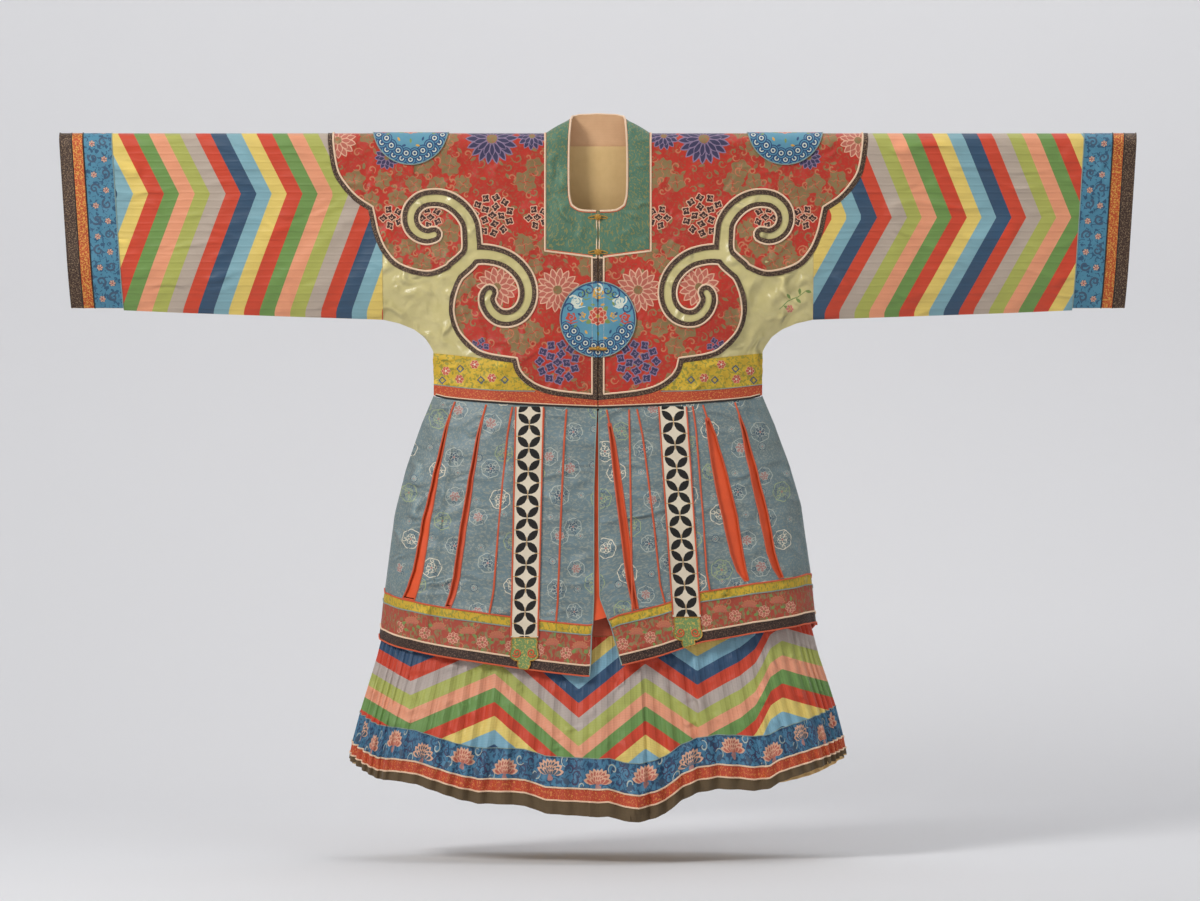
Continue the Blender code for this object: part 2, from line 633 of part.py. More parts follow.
PEPLUM = [
    Ring("waist", 319, -508.4, -533.4, 55, 160, 1.0, 0),
    Ring("high hip", 343, -566, -596, 66, 200, 0.86, 1),
    Ring("hip", 372, -650, -690, 80, 260, 0.74, 2),
    Ring("thigh", 394, -735, -785, 93, 320, 0.64, 3),
    Ring("low", 408, -840, -897, 105, 380, 0.56, 4),
    Ring("yellow top", 413, -877, -944, 110, 400, 0.54, 4),
    Ring("red top", 416, -896, -962, 113, 410, 0.53, 4),
    Ring("black top", 421, -945, -1021, 118, 418, 0.51, 4),
    Ring("peplum hem", 424, -966, -1042, 121, 424, 0.5, 4),
]
UNDERSKIRT = [
    Ring("under waist", 318.4, -515.5, -541, 53, 164, 0.986, 0),
    Ring("under high hip", 330, -575, -604, 54, 200, 0.86, 0.5),
    Ring("under hip", 360, -650, -690, 68, 260, 0.74, 1),
    Ring("under thigh", 390, -800, -850, 80, 360, 0.6, 1.5),
    Ring("chevron top", 403, -915, -975, 90, 398, 0.52, 2.5),
    Ring("chevron middle", 429, -1018, -1096, 109, 429, 0.5, 3.5),
    Ring("lotus top", 461, -1121, -1208, 130, 461, 0.5, 5),
    Ring("red band top", 476, -1178, -1266, 144, 476, 0.5, 6),
    Ring("hem top", 480, -1199, -1290, 147, 480, 0.5, 6),
    Ring("hem", 482, -1209, -1318, 149, 482, 0.5, 6.5),
]
LEVELS = {ring.name: i for i, ring in enumerate(PEPLUM)}


def between(rings: Sequence[Ring], level: float) -> Ring:
    """The ring at a level between table rows."""
    i = min(int(level), len(rings) - 2)
    s = level - i
    a, b = rings[i], rings[i + 1]
    mixed = [getattr(a, key) * (1 - s) + getattr(b, key) * s
             for key in ("half_width", "side_z", "middle_z", "depth", "closing", "power", "wave")]
    return Ring("between", *mixed)


def ring_point(rings: Sequence[Ring], angle: float, level: float, waves: float) -> Vector:
    """The inner face of a skirt at an angle from the centre front, positive towards +X, and a level."""
    ring = between(rings, level)
    sine, cosine = math.sin(angle), math.cos(angle)
    x = ring.half_width * sine
    near = min(1.0, (ring.half_width - abs(x)) / ring.closing)
    reach = ring.depth * (1 - (1 - near) ** 2) ** ring.power
    dip = 0.6 * abs(cosine) + 0.4 * (1 - abs(sine))
    z = ring.side_z + (ring.middle_z - ring.side_z) * dip
    fade = min(1.0, 6 * abs(cosine))
    ripple = ring.wave * fade * math.cos(waves * angle + 0.5 * math.sin(3 * angle))
    y = reach + ripple * abs(cosine)
    x += ripple * sine * fade
    return Vector((x, -y if cosine >= 0 else y, z)) * MM


def skirt_surface(rings: Sequence[Ring], waves: float) -> Surface:
    """A surface function for skirt pieces: angle, level and height to a point in space."""
    def surface(angle: float, level: float, height: float) -> Vector:
        """Carry a skirt point to space."""
        step = 0.01
        mid = math.pi / 2
        low_angle, high_angle = angle - step, angle + step
        for seam in (-mid, mid, 3 * mid):
            if abs(angle - seam) < 2 * step:
                low_angle, high_angle = (angle - step, angle) if angle < seam else (angle, angle + step)
        low_level, high_level = max(0.0, level - 0.1), min(len(rings) - 1.0, level + 0.1)
        point = ring_point(rings, angle, level, waves)
        across = ring_point(rings, high_angle, level, waves) - ring_point(rings, low_angle, level, waves)
        along = ring_point(rings, angle, high_level, waves) - ring_point(rings, angle, low_level, waves)
        normal = along.cross(across).normalized()
        if normal.dot(Vector((point.x, point.y, 0))) < 0:
            normal.negate()
        return point + normal * height
    return surface


PEPLUM_WAVES = 7
ANGLE_STEPS = 18
SIDE_ANGLE = math.pi / 2 - 0.0015
FRONT_ANGLES = [-SIDE_ANGLE + 2 * SIDE_ANGLE * k / ANGLE_STEPS for k in range(ANGLE_STEPS + 1)]
LEFT_EDGE_X = -8.0
# Where the right front's edge lies at each level, in millimetres from the centre
RIGHT_EDGE_X = {"waist": 2, "high hip": 2, "hip": 2, "thigh": 2, "low": 4, "yellow top": 20, "red top": 26,
                "black top": 40, "peplum hem": 46}


def edge_angle(x: float, level: float) -> float:
    """The angle at which a level of the peplum reaches x, in millimetres."""
    return math.asin(x / between(PEPLUM, level).half_width)


def panel_angles(level: float, side: int) -> List[float]:
    """Angles across a front of the peplum at a level, from its centre edge to the side seam."""
    i = min(int(level), len(PEPLUM) - 2)
    s = level - i
    right = RIGHT_EDGE_X[PEPLUM[i].name] * (1 - s) + RIGHT_EDGE_X[PEPLUM[i + 1].name] * s
    left = -2.0 + (LEFT_EDGE_X + 2.0) * min(1.0, level / 2) - max(0.0, level - 4) * 2
    start = edge_angle(right if side > 0 else left, level)
    far = [a for a in FRONT_ANGLES if (a > start + 0.06 if side > 0 else a < start - 0.06)]
    return [start] + (far if side > 0 else far[::-1])


@dataclass(frozen=True)
class Slit:
    """A pleat opening of the peplum: front x at its ends, levels of its ends, and widths, in millimetres."""
    top_x: float
    top_level: float
    bottom_x: float
    bottom_level: float
    top_width: float
    middle_width: float
    bottom_width: float


LEFT_SLITS = [Slit(-312, 1.2, -364, 4.93, 5, 17, 25), Slit(-222, 1.2, -290, 4.93, 5, 11, 9)]
RIGHT_SLITS = [Slit(27, 1.6, 74, 4.9, 6, 14, 8), Slit(213, 0.5, 284, 4.8, 7, 27, 8),
               Slit(282, 1.0, 350, 4.9, 6, 18, 9)]
BACK_SLITS = [Slit(-330, 1.2, -365, 4.9, 6, 20, 16), Slit(-222, 1.0, -282, 4.9, 6, 18, 10),
              Slit(-60, 1.4, -84, 4.9, 6, 14, 9), Slit(72, 1.4, 98, 4.9, 6, 15, 9),
              Slit(222, 1.0, 280, 4.9, 6, 20, 12), Slit(318, 1.2, 360, 4.9, 6, 20, 14)]


def slit_outline(slit: Slit, at_back: bool) -> List[Point]:
    """A slit as a closed outline in angle and level."""
    left, right = [], []
    for k in range(5):
        s = k / 4
        level = slit.top_level + (slit.bottom_level - slit.top_level) * s
        middle = slit.top_x + (slit.bottom_x - slit.top_x) * s
        width = slit.top_width * (1 - s) + slit.bottom_width * s
        width += (slit.middle_width - (slit.top_width + slit.bottom_width) / 2) * 4 * s * (1 - s)
        a, b = edge_angle(middle - width / 2, level), edge_angle(middle + width / 2, level)
        left.append((math.pi - a if at_back else a, level))
        right.append((math.pi - b if at_back else b, level))
    return left + right[::-1]


ANGLE_SCALE = 0.35
LEVEL_SCALE = 0.075


def peplum_wall(name: str, outline: Sequence[Point], slits: Sequence[Sequence[Point]]) -> None:
    """A blue wall of the peplum with its slits, drawn on a chart scaled close to real size."""
    surface = skirt_surface(PEPLUM, PEPLUM_WAVES)

    def charted(u: float, v: float, height: float) -> Vector:
        """Carry a chart point to space."""
        return surface(u / ANGLE_SCALE, v / LEVEL_SCALE, height)

    def chart(points: Sequence[Point]) -> List[Point]:
        """Scale angle and level to the chart."""
        return [(angle * ANGLE_SCALE, level * LEVEL_SCALE) for angle, level in points]

    columns = [a * ANGLE_SCALE for a in FRONT_ANGLES + [a + math.pi for a in FRONT_ANGLES]]
    rows = [level * LEVEL_SCALE for level in (1, 2, 3, 4)]
    region_wall(name, chart(outline), charted, 0.0, CLOTH, BLUE_BROCADE, rows, columns,
                [chart(slit) for slit in slits], 0.010)


def gap_level(level: float, up: bool) -> float:
    """A level moved by half a seam."""
    span = 60 * MM if level < 5 else 24 * MM
    return level + (-1 if up else 1) * HALF_SEAM / span * 1.3


def make_peplum() -> None:
    """Blue walls with slits, orange cloth behind them, and three borders."""
    top = gap_level(0.0, False) + 0.01
    low = gap_level(LEVELS["yellow top"], True)
    for side, hand, slits in ((1, "right", RIGHT_SLITS), (-1, "left", LEFT_SLITS)):
        upper = [(a, top) for a in panel_angles(top, side)]
        lower = [(a, low) for a in panel_angles(low, side)]
        start = [(panel_angles(level, side)[0], level) for level in (1.0, 2.0, 3.0, 4.0)]
        outer = [(side * SIDE_ANGLE, level) for level in (1.0, 2.0, 3.0, 4.0)]
        outline = upper + outer + lower[::-1] + start[::-1]
        peplum_wall("peplum_front_" + hand, outline, [slit_outline(s, False) for s in slits])
    back = [a + math.pi for a in FRONT_ANGLES]
    sides = (1.0, 2.0, 3.0, 4.0)
    outline = [(a, top) for a in back] + [(back[-1], level) for level in sides]
    outline += [(a, low) for a in reversed(back)] + [(back[0], level) for level in reversed(sides)]
    peplum_wall("peplum_back", outline, [slit_outline(s, True) for s in BACK_SLITS])
    make_pleat_cloth()
    make_borders()


# How far behind the blue walls the orange cloth lies, in millimetres, at each level
PLEAT_CLOTH_SET_BACK = ((0.45, 1.1), (1.0, 3.0), (2.0, 3.8), (3.0, 3.8), (4.0, 3.6), (4.85, 1.7))
PLEAT_CLOTH_THICKNESS = 1.2


def make_pleat_cloth() -> None:
    """The orange cloth that shows in the slits, close behind the blue at its upper and lower edges."""
    surface = skirt_surface(PEPLUM, PEPLUM_WAVES)
    for name, turn in (("pleat_cloth_front", 0.0), ("pleat_cloth_back", math.pi)):
        outer, inner = [], []
        for level, set_back in PLEAT_CLOTH_SET_BACK:
            angles = [a + turn for a in FRONT_ANGLES[2:-2]]
            outer.append([surface(a, level, -set_back * MM) for a in angles])
            inner.append([surface(a, level, -(set_back + PLEAT_CLOTH_THICKNESS) * MM) for a in angles])
        grid_wall(name, outer, inner, ORANGE_SILK)


def make_borders() -> None:
    """The yellow edge, the red floral border and the dark border of the peplum."""
    surface = skirt_surface(PEPLUM, PEPLUM_WAVES)
    plan = (("border_yellow_", "yellow top", "red top", YELLOW_BROCADE),
            ("border_red_", "red top", "black top", FLORAL_RED),
            ("border_dark_", "black top", "peplum hem", BLACK_BROWN_BRAID))
    for name, start, end, material in plan:
        levels = (gap_level(LEVELS[start], False), gap_level(LEVELS[end], True))
        if end == "peplum hem":
            levels = (levels[0], float(LEVELS[end]))
        for place in ("front_left", "front_right", "back"):
            outer, inner = [], []
            for level in levels:
                if place == "back":
                    angles = [a + math.pi for a in FRONT_ANGLES]
                else:
                    angles = panel_angles(5.0, 1 if place == "front_right" else -1)
                    angles = [panel_angles(level, 1 if place == "front_right" else -1)[0]] + angles[1:]
                outer.append([surface(a, level, CLOTH) for a in angles])
                inner.append([surface(a, level, 0.0) for a in angles])
            grid_wall(name + place, outer, inner, material)


@dataclass(frozen=True)
class Ribbon:
    """A coin-pattern ribbon on the peplum, millimetres: where its middle lies at the top and at the end."""
    name: str
    top_x: float
    bottom_x: float
    end_level: float


RIBBONS = [Ribbon("left", -132, -142, 6.3), Ribbon("right", 144, 172, 6.35)]
RIBBON_WIDTH = 54.0
RIBBON_GAP = 1.5 * MM
RIBBON_TOP_LEVEL = 0.08
RIBBON_SPANS = 8
# The pendant's outline, from the ribbon's end down: share of its length, and width over the ribbon's
PENDANT_END_LEVEL = 7.98
PENDANT_OUTLINE = ((0.0036, 0.96), (0.35, 1.06), (0.72, 1.04), (0.9, 0.55), (1.0, 0.3))


def make_ribbons() -> None:
    """Two white ribbons on the peplum and the green cloud pendant at the end of each."""
    surface = skirt_surface(PEPLUM, PEPLUM_WAVES)
    low, high = CLOTH + RIBBON_GAP, CLOTH + RIBBON_GAP + LAID_ON_CLOTH
    for ribbon in RIBBONS:
        def line(level: float, width: float, height: float) -> List[Vector]:
            """Points across the ribbon at a level."""
            share = level / ribbon.end_level
            middle = ribbon.top_x + (ribbon.bottom_x - ribbon.top_x) * share
            xs = [middle + width * s for s in (-0.5, 0.0, 0.5)]
            return [surface(edge_angle(x, level), level, height) for x in xs]

        levels = [RIBBON_TOP_LEVEL + (ribbon.end_level - RIBBON_TOP_LEVEL) * k / RIBBON_SPANS
                  for k in range(RIBBON_SPANS + 1)]
        outer = [line(level, RIBBON_WIDTH, high) for level in levels]
        inner = [line(level, RIBBON_WIDTH, low) for level in levels]
        grid_wall("ribbon_" + ribbon.name, outer, inner, WHITE_RIBBON)
        tail = [(ribbon.end_level + (PENDANT_END_LEVEL - ribbon.end_level) * share, RIBBON_WIDTH * width)
                for share, width in PENDANT_OUTLINE]
        outer = [line(level, width, high) for level, width in tail]
        inner = [line(level, width, low) for level, width in tail]
        grid_wall("pendant_" + ribbon.name, outer, inner, GREEN_PENDANT)


PLEATS = 36
PLEAT_DRIFT = 0.006
PLEAT_SHARE = 0.55


def pleated(angle_index: int, level: float, turn: float, height: float) -> Vector:
    """A point of the pleated underskirt: odd lines are crests and even ones troughs."""
    count = 2 * PLEATS
    share = angle_index / count
    angle = -SIDE_ANGLE + 2 * SIDE_ANGLE * share
    angle += PLEAT_DRIFT * math.sin(share * 37.0) * math.sin(math.pi * share)
    point = skirt_surface(UNDERSKIRT, PEPLUM_WAVES)(angle + turn, level, height)
    ends = min(1.0, min(angle_index, count - angle_index) / 3)
    depth = between(UNDERSKIRT, level).wave * PLEAT_SHARE * ends * (1 + 0.35 * math.sin(share * 23.0 + turn))
    out = Vector((point.x * 0.25, point.y, 0)).normalized()
    return point + out * depth * MM * (1 if angle_index % 2 else -1)


def make_underskirt() -> None:
    """The salmon top, the striped cloth, the lotus and red bands and the taupe hem."""
    count = 2 * PLEATS
    surface = skirt_surface(UNDERSKIRT, PEPLUM_WAVES)
    levels = (0.0, 1.0, 2.0, 3.0, 3.996)
    around = 2 * ANGLE_STEPS
    angles = [-math.pi / 2 + 2 * math.pi * k / around for k in range(around)]
    outer = [[surface(a, level, CLOTH) for a in angles] for level in levels]
    inner = [[surface(a, level, 0.0) for a in angles] for level in levels]
    grid_wall("underskirt_top", outer, inner, SALMON_SILK, closed=True)
    plan = (("chevron_", (4.003, 5.0, 5.9985), STRIPED_SILK), ("lotus_band_", (6.0015, 6.997), LOTUS_BLUE),
            ("red_band_", (7.006, 7.994), RED_SILK), ("hem_", (8.006, 9.0), TAUPE_COTTON))
    for name, bands, material in plan:
        for place, turn in (("front", 0.0), ("back", math.pi)):
            outer = [[pleated(k, level, turn, CLOTH) for k in range(count + 1)] for level in bands]
            inner = [[pleated(k, level, turn, 0.0) for k in range(count + 1)] for level in bands]
            grid_wall(name + place, outer, inner, material)


@dataclass(frozen=True)
class Fastening:
    """A knot button or toggle bar, millimetres: how far down the front it lies, and its half sizes."""
    name: str
    t: float
    half_x: float
    half_y: float
    half_z: float
    stand_off: float


FASTENINGS = [Fastening("button_neck", 176, 7, 4, 6, 0.5), Fastening("button_collar", 244, 7, 4, 6, 0.5),
              Fastening("toggle_bar", 432, 17, 3.5, 3.5, 3.4)]


def make_fastenings() -> None:
    """Buttons and the toggle bar, as smooth knots lying over the opening."""
    for item in FASTENINGS:
        surface = body_surface(0.02, item.t * MM, CLOTH)
        centre = Vector((0, surface.y - (item.half_y + item.stand_off) * MM, surface.z))
        mesh_rings, per_ring = 6, 10
        vertices = [centre - Vector((item.half_x, 0, 0)) * MM]
        for i in range(1, mesh_rings):
            polar = math.pi * i / mesh_rings
            for k in range(per_ring):
                turn = 2 * math.pi * k / per_ring
                offset = Vector((-item.half_x * math.cos(polar),
                                 item.half_y * math.sin(polar) * math.cos(turn),
                                 item.half_z * math.sin(polar) * math.sin(turn)))
                vertices.append(centre + offset * MM)
        vertices.append(centre + Vector((item.half_x, 0, 0)) * MM)
        last = len(vertices) - 1
        faces = [[0, 1 + (k + 1) % per_ring, 1 + k] for k in range(per_ring)]
        for i in range(mesh_rings - 2):
            for k in range(per_ring):
                a, b = 1 + i * per_ring + k, 1 + i * per_ring + (k + 1) % per_ring
                faces.append([a, b, b + per_ring, a + per_ring])
        base = 1 + (mesh_rings - 2) * per_ring
        faces += [[base + k, base + (k + 1) % per_ring, last] for k in range(per_ring)]
        finish_object(item.name, vertices, flip_if_inside_out(vertices, faces), GOLD_CORD)


make_yoke()
make_yoke_band()
make_underarm_and_waist()
make_sleeves()
make_collar()
make_lining()
make_badges()
make_peplum()
make_ribbons()
make_underskirt()
make_fastenings()
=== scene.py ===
"""Theatrical robe: silk, brocade, embroidery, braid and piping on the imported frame, with light and camera.

X runs along the sleeves, the front faces -Y and the shoulder fold is at z = 0. The upper robe is drawn in
cloth coordinates: x along the sleeves and t down from the shoulder fold, positive on the front and negative
on the back. The two skirts are drawn on rings, by the angle round the wearer and the level between ring rows.
"""

import logging
import math
from dataclasses import dataclass, field
from enum import Enum
from typing import Callable, Dict, List, Optional, Sequence, Tuple

import bpy
import numpy as np
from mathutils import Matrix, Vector, kdtree, noise
from mathutils.geometry import delaunay_2d_cdt


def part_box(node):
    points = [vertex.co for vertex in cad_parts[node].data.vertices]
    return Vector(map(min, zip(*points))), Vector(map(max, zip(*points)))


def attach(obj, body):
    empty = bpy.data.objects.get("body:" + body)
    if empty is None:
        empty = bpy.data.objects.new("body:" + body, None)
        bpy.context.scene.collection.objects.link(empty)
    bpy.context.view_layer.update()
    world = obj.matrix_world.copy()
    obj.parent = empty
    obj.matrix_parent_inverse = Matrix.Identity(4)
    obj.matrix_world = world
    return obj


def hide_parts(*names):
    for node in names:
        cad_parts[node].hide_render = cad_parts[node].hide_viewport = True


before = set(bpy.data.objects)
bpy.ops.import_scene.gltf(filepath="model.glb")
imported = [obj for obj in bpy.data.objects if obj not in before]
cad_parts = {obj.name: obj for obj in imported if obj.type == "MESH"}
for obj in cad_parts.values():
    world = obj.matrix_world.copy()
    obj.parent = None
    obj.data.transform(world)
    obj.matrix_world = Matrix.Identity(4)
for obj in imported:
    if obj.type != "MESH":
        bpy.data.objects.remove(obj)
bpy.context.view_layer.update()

LOG = logging.getLogger("robe")
MM = 0.001
Line = np.ndarray
Place = Callable[[np.ndarray, float], np.ndarray]

# Heights over the inner face of the cloth, as in the frame
CLOTH = 1.6 * MM
BAND_CLOTH = 2.3 * MM
SATIN = 0.7 * MM
YOKE_FOOT = 0.8 * MM  # the yoke's inner face, where it lies on the satin
LAID_ON_GAP = 0.8 * MM
LAID_ON_CLOTH = 1.4 * MM
SEAM = 0.3 * MM
HALF_SEAM = SEAM / 2

# Cuts of the upper robe
ARMHOLE_X = 418 * MM
ARMHOLE_TOP_T = 0.246
ARMHOLE_END_T = 0.374
CUFF_SLANT = 23 * MM
STRIPES_END = 946 * MM
CUFF_BLUE_END = 1002 * MM
CUFF_GOLD_END = 1024 * MM
CUFF_END = 1048 * MM
COLLAR_X = 103 * MM
COLLAR_CORNER_T = 242 * MM
COLLAR_CENTRE_T = 255 * MM
BACK_NECK_T = 64 * MM
OPENING = 0.8 * MM
BAND = 10.5 * MM
SIDE_X = 319 * MM
SIDE_YELLOW_TOP_T = 439 * MM
SIDE_WAIST_T = 521 * MM
CENTRE_WAIST_T = 546 * MM


class Side(Enum):
    """The wearer's side as the viewer sees it."""
    LEFT = -1
    RIGHT = 1

    @property
    def word(self) -> str:
        """The side's name in piece names."""
        return self.name.lower()


class Face(Enum):
    """The front or the back of the robe, with its sign in cloth coordinates."""
    FRONT = 1
    BACK = -1

    @property
    def word(self) -> str:
        """The face's name in piece names."""
        return self.name.lower()


def ease(value: np.ndarray, start: float, end: float) -> np.ndarray:
    """Ease from 0 at start to 1 at end."""
    part = np.clip((value - start) / (end - start), 0, 1)
    return part * part * (3 - 2 * part)


def crumpled(chart: np.ndarray, width: float, stretch: float, seed: float) -> np.ndarray:
    """Soft crumples of about 0 to 1 at cloth points.

    Args:
        chart: cloth points in metres.
        width: size of a crumple in metres.
        stretch: how much wider than high the crumples are.
        seed: which crumples.

    Returns:
        The height of each point.
    """
    return np.array([noise.ridged_multi_fractal((u / width / stretch, v / width, seed), 1.0, 2.1, 3, 1.0, 2.0)
                     for u, v in chart.tolist()]) * 0.5


def mm(*rows: Tuple[float, float]) -> Line:
    """Points given in millimetres, as metres."""
    return np.array(rows, float) * MM


def distance_to_line(points: np.ndarray, line: Line) -> np.ndarray:
    """Shortest way from each point to an open line."""
    best = np.full(len(points), 9.0)
    for a, b in zip(line, line[1:]):
        run = b - a
        length2 = max(float(run @ run), 1e-12)
        part = np.clip(((points - a) @ run) / length2, 0, 1)
        best = np.minimum(best, np.linalg.norm(points - a - part[:, None] * run, axis=1))
    return best


def curve_through(rows: Line, pieces: int, corners: Sequence[int] = ()) -> Line:
    """Smooth points through rows, with `pieces` spans a row and the numbered corners kept sharp.

    Args:
        rows: the points to pass through.
        pieces: spans between two rows.
        corners: numbers of the rows that stay sharp.

    Returns:
        The points of the smooth line.
    """
    rows = np.asarray(rows, float)
    found = []
    for i in range(len(rows) - 1):
        before = rows[i - 1] if i > 0 and i not in corners else rows[i]
        after = rows[i + 2] if i + 2 < len(rows) and i + 1 not in corners else rows[i + 1]
        for k in range(pieces):
            s = k / pieces
            w0, w1 = -s ** 3 + 2 * s ** 2 - s, 3 * s ** 3 - 5 * s ** 2 + 2
            w2, w3 = -3 * s ** 3 + 4 * s ** 2 + s, s ** 3 - s ** 2
            found.append((w0 * before + w1 * rows[i] + w2 * rows[i + 1] + w3 * after) / 2)
    found.append(rows[-1])
    return np.array(found)


def resampled(line: Line, step: float, closed: bool = False) -> Line:
    """A line whose long spans are divided so that none is longer than step."""
    line = np.asarray(line, float)
    ends = np.vstack([line, line[:1]]) if closed else line
    found = []
    for a, b in zip(ends, ends[1:]):
        count = max(1, int(math.ceil(np.linalg.norm(b - a) / step)))
        found += [a + (b - a) * k / count for k in range(count)]
    if not closed:
        found.append(ends[-1])
    return np.array(found)


def joined(*lines: Sequence) -> Line:
    """Lines in a row, with doubled points left out."""
    found: List[np.ndarray] = []
    for line in lines:
        for point in np.asarray(line, float):
            if not found or np.linalg.norm(point - found[-1]) > 0.2 * MM:
                found.append(point)
    if np.linalg.norm(found[0] - found[-1]) < 0.2 * MM:
        found.pop()
    return np.array(found)


def mirrored(line: Line) -> Line:
    """A line on the other side of the centre."""
    return np.asarray(line) * (-1, 1)


def to_face(line: Line, face: Face) -> Line:
    """A line laid on the front or the back."""
    return np.asarray(line) * (1, face.value)


def signed_area(line: Line) -> float:
    """Area of a closed line, positive when it runs anticlockwise."""
    following = np.roll(line, -1, axis=0)
    return float((line[:, 0] * following[:, 1] - following[:, 0] * line[:, 1]).sum() / 2)


def inset(line: Line, by: float) -> Line:
    """A closed line drawn in from its edges, mitred at corners."""
    turn = 1.0 if signed_area(line) > 0 else -1.0
    ahead, behind = np.roll(line, -1, axis=0) - line, line - np.roll(line, 1, axis=0)
    ahead /= np.maximum(np.linalg.norm(ahead, axis=1), 1e-9)[:, None]
    behind /= np.maximum(np.linalg.norm(behind, axis=1), 1e-9)[:, None]
    inwards = np.stack([-(ahead + behind)[:, 1], (ahead + behind)[:, 0]], axis=1) * turn
    size = np.maximum(np.linalg.norm(inwards, axis=1), 1e-9)
    cosine = np.maximum(0.35,
                        (-behind[:, 1] * turn * inwards[:, 0] + behind[:, 0] * turn * inwards[:, 1]) / size)
    return line + inwards / (size * cosine)[:, None] * by


def inside(points: np.ndarray, line: Line) -> np.ndarray:
    """Which points lie in a closed line."""
    found = np.zeros(len(points), bool)
    for a, b in zip(line, np.roll(line, -1, axis=0)):
        crosses = (a[1] > points[:, 1]) != (b[1] > points[:, 1])
        if crosses.any():
            found ^= crosses & (points[:, 0] < a[0] + (points[:, 1] - a[1]) / (b[1] - a[1]) * (b[0] - a[0]))
    return found


# Form of the upper robe

@dataclass(frozen=True)
class Crease:
    """A soft ridge or hollow in the cloth, millimetres: its two ends, half width, and height."""
    start_x: float
    start_t: float
    end_x: float
    end_t: float
    half_width: float
    height: float


# Drag lines at the underarms and soft folds of the sleeves, as they hang
BODY_CREASES = (
    Crease(-480, 175, -640, 320, 14, 2.6), Crease(-455, 235, -520, 345, 12, -2.2),
    Crease(-560, 120, -700, 300, 20, 1.6),
    Crease(585, 60, 570, 345, 16, 1.8), Crease(640, 90, 628, 340, 18, -1.6),
    Crease(520, 215, 560, 340, 14, 2.0),
    Crease(-345, 330, -300, 405, 7, 3.0), Crease(-365, 300, -335, 385, 6, 2.4),
    Crease(-385, 310, -365, 385, 6, -2.0),
    Crease(-405, 300, -330, 330, 7, 1.8), Crease(-322, 300, -268, 430, 8, -2.4),
    Crease(-300, 290, -255, 425, 6, 2.2),
    Crease(-335, 400, -270, 432, 6, 2.4), Crease(-400, 345, -345, 372, 5, 1.8),
    Crease(345, 330, 300, 405, 7, 2.8), Crease(365, 300, 332, 385, 6, 2.2),
    Crease(388, 305, 365, 385, 6, -2.0),
    Crease(405, 300, 330, 335, 7, 1.6), Crease(322, 300, 268, 430, 8, -2.2),
    Crease(335, 400, 270, 432, 6, 2.2),
    Crease(400, 340, 345, 370, 5, 1.8), Crease(300, 290, 258, 425, 6, 2.0),
    Crease(-319, 455, -180, 470, 6, 1.4), Crease(-319, 475, -200, 486, 5, 1.2),
    Crease(-319, 490, -170, 503, 4, -1.0),
    Crease(319, 452, 190, 466, 6, 1.4), Crease(319, 474, 200, 484, 5, 1.2),
    Crease(319, 488, 180, 500, 4, -1.0),
    Crease(-200, 90, -150, 240, 22, 1.6), Crease(210, 80, 160, 250, 22, 1.6),
    Crease(-70, 300, -150, 470, 26, 1.8),
    Crease(80, 300, 140, 480, 26, 1.8), Crease(-420, 60, -430, 230, 18, 1.2),
    Crease(425, 70, 430, 230, 18, 1.2),
)


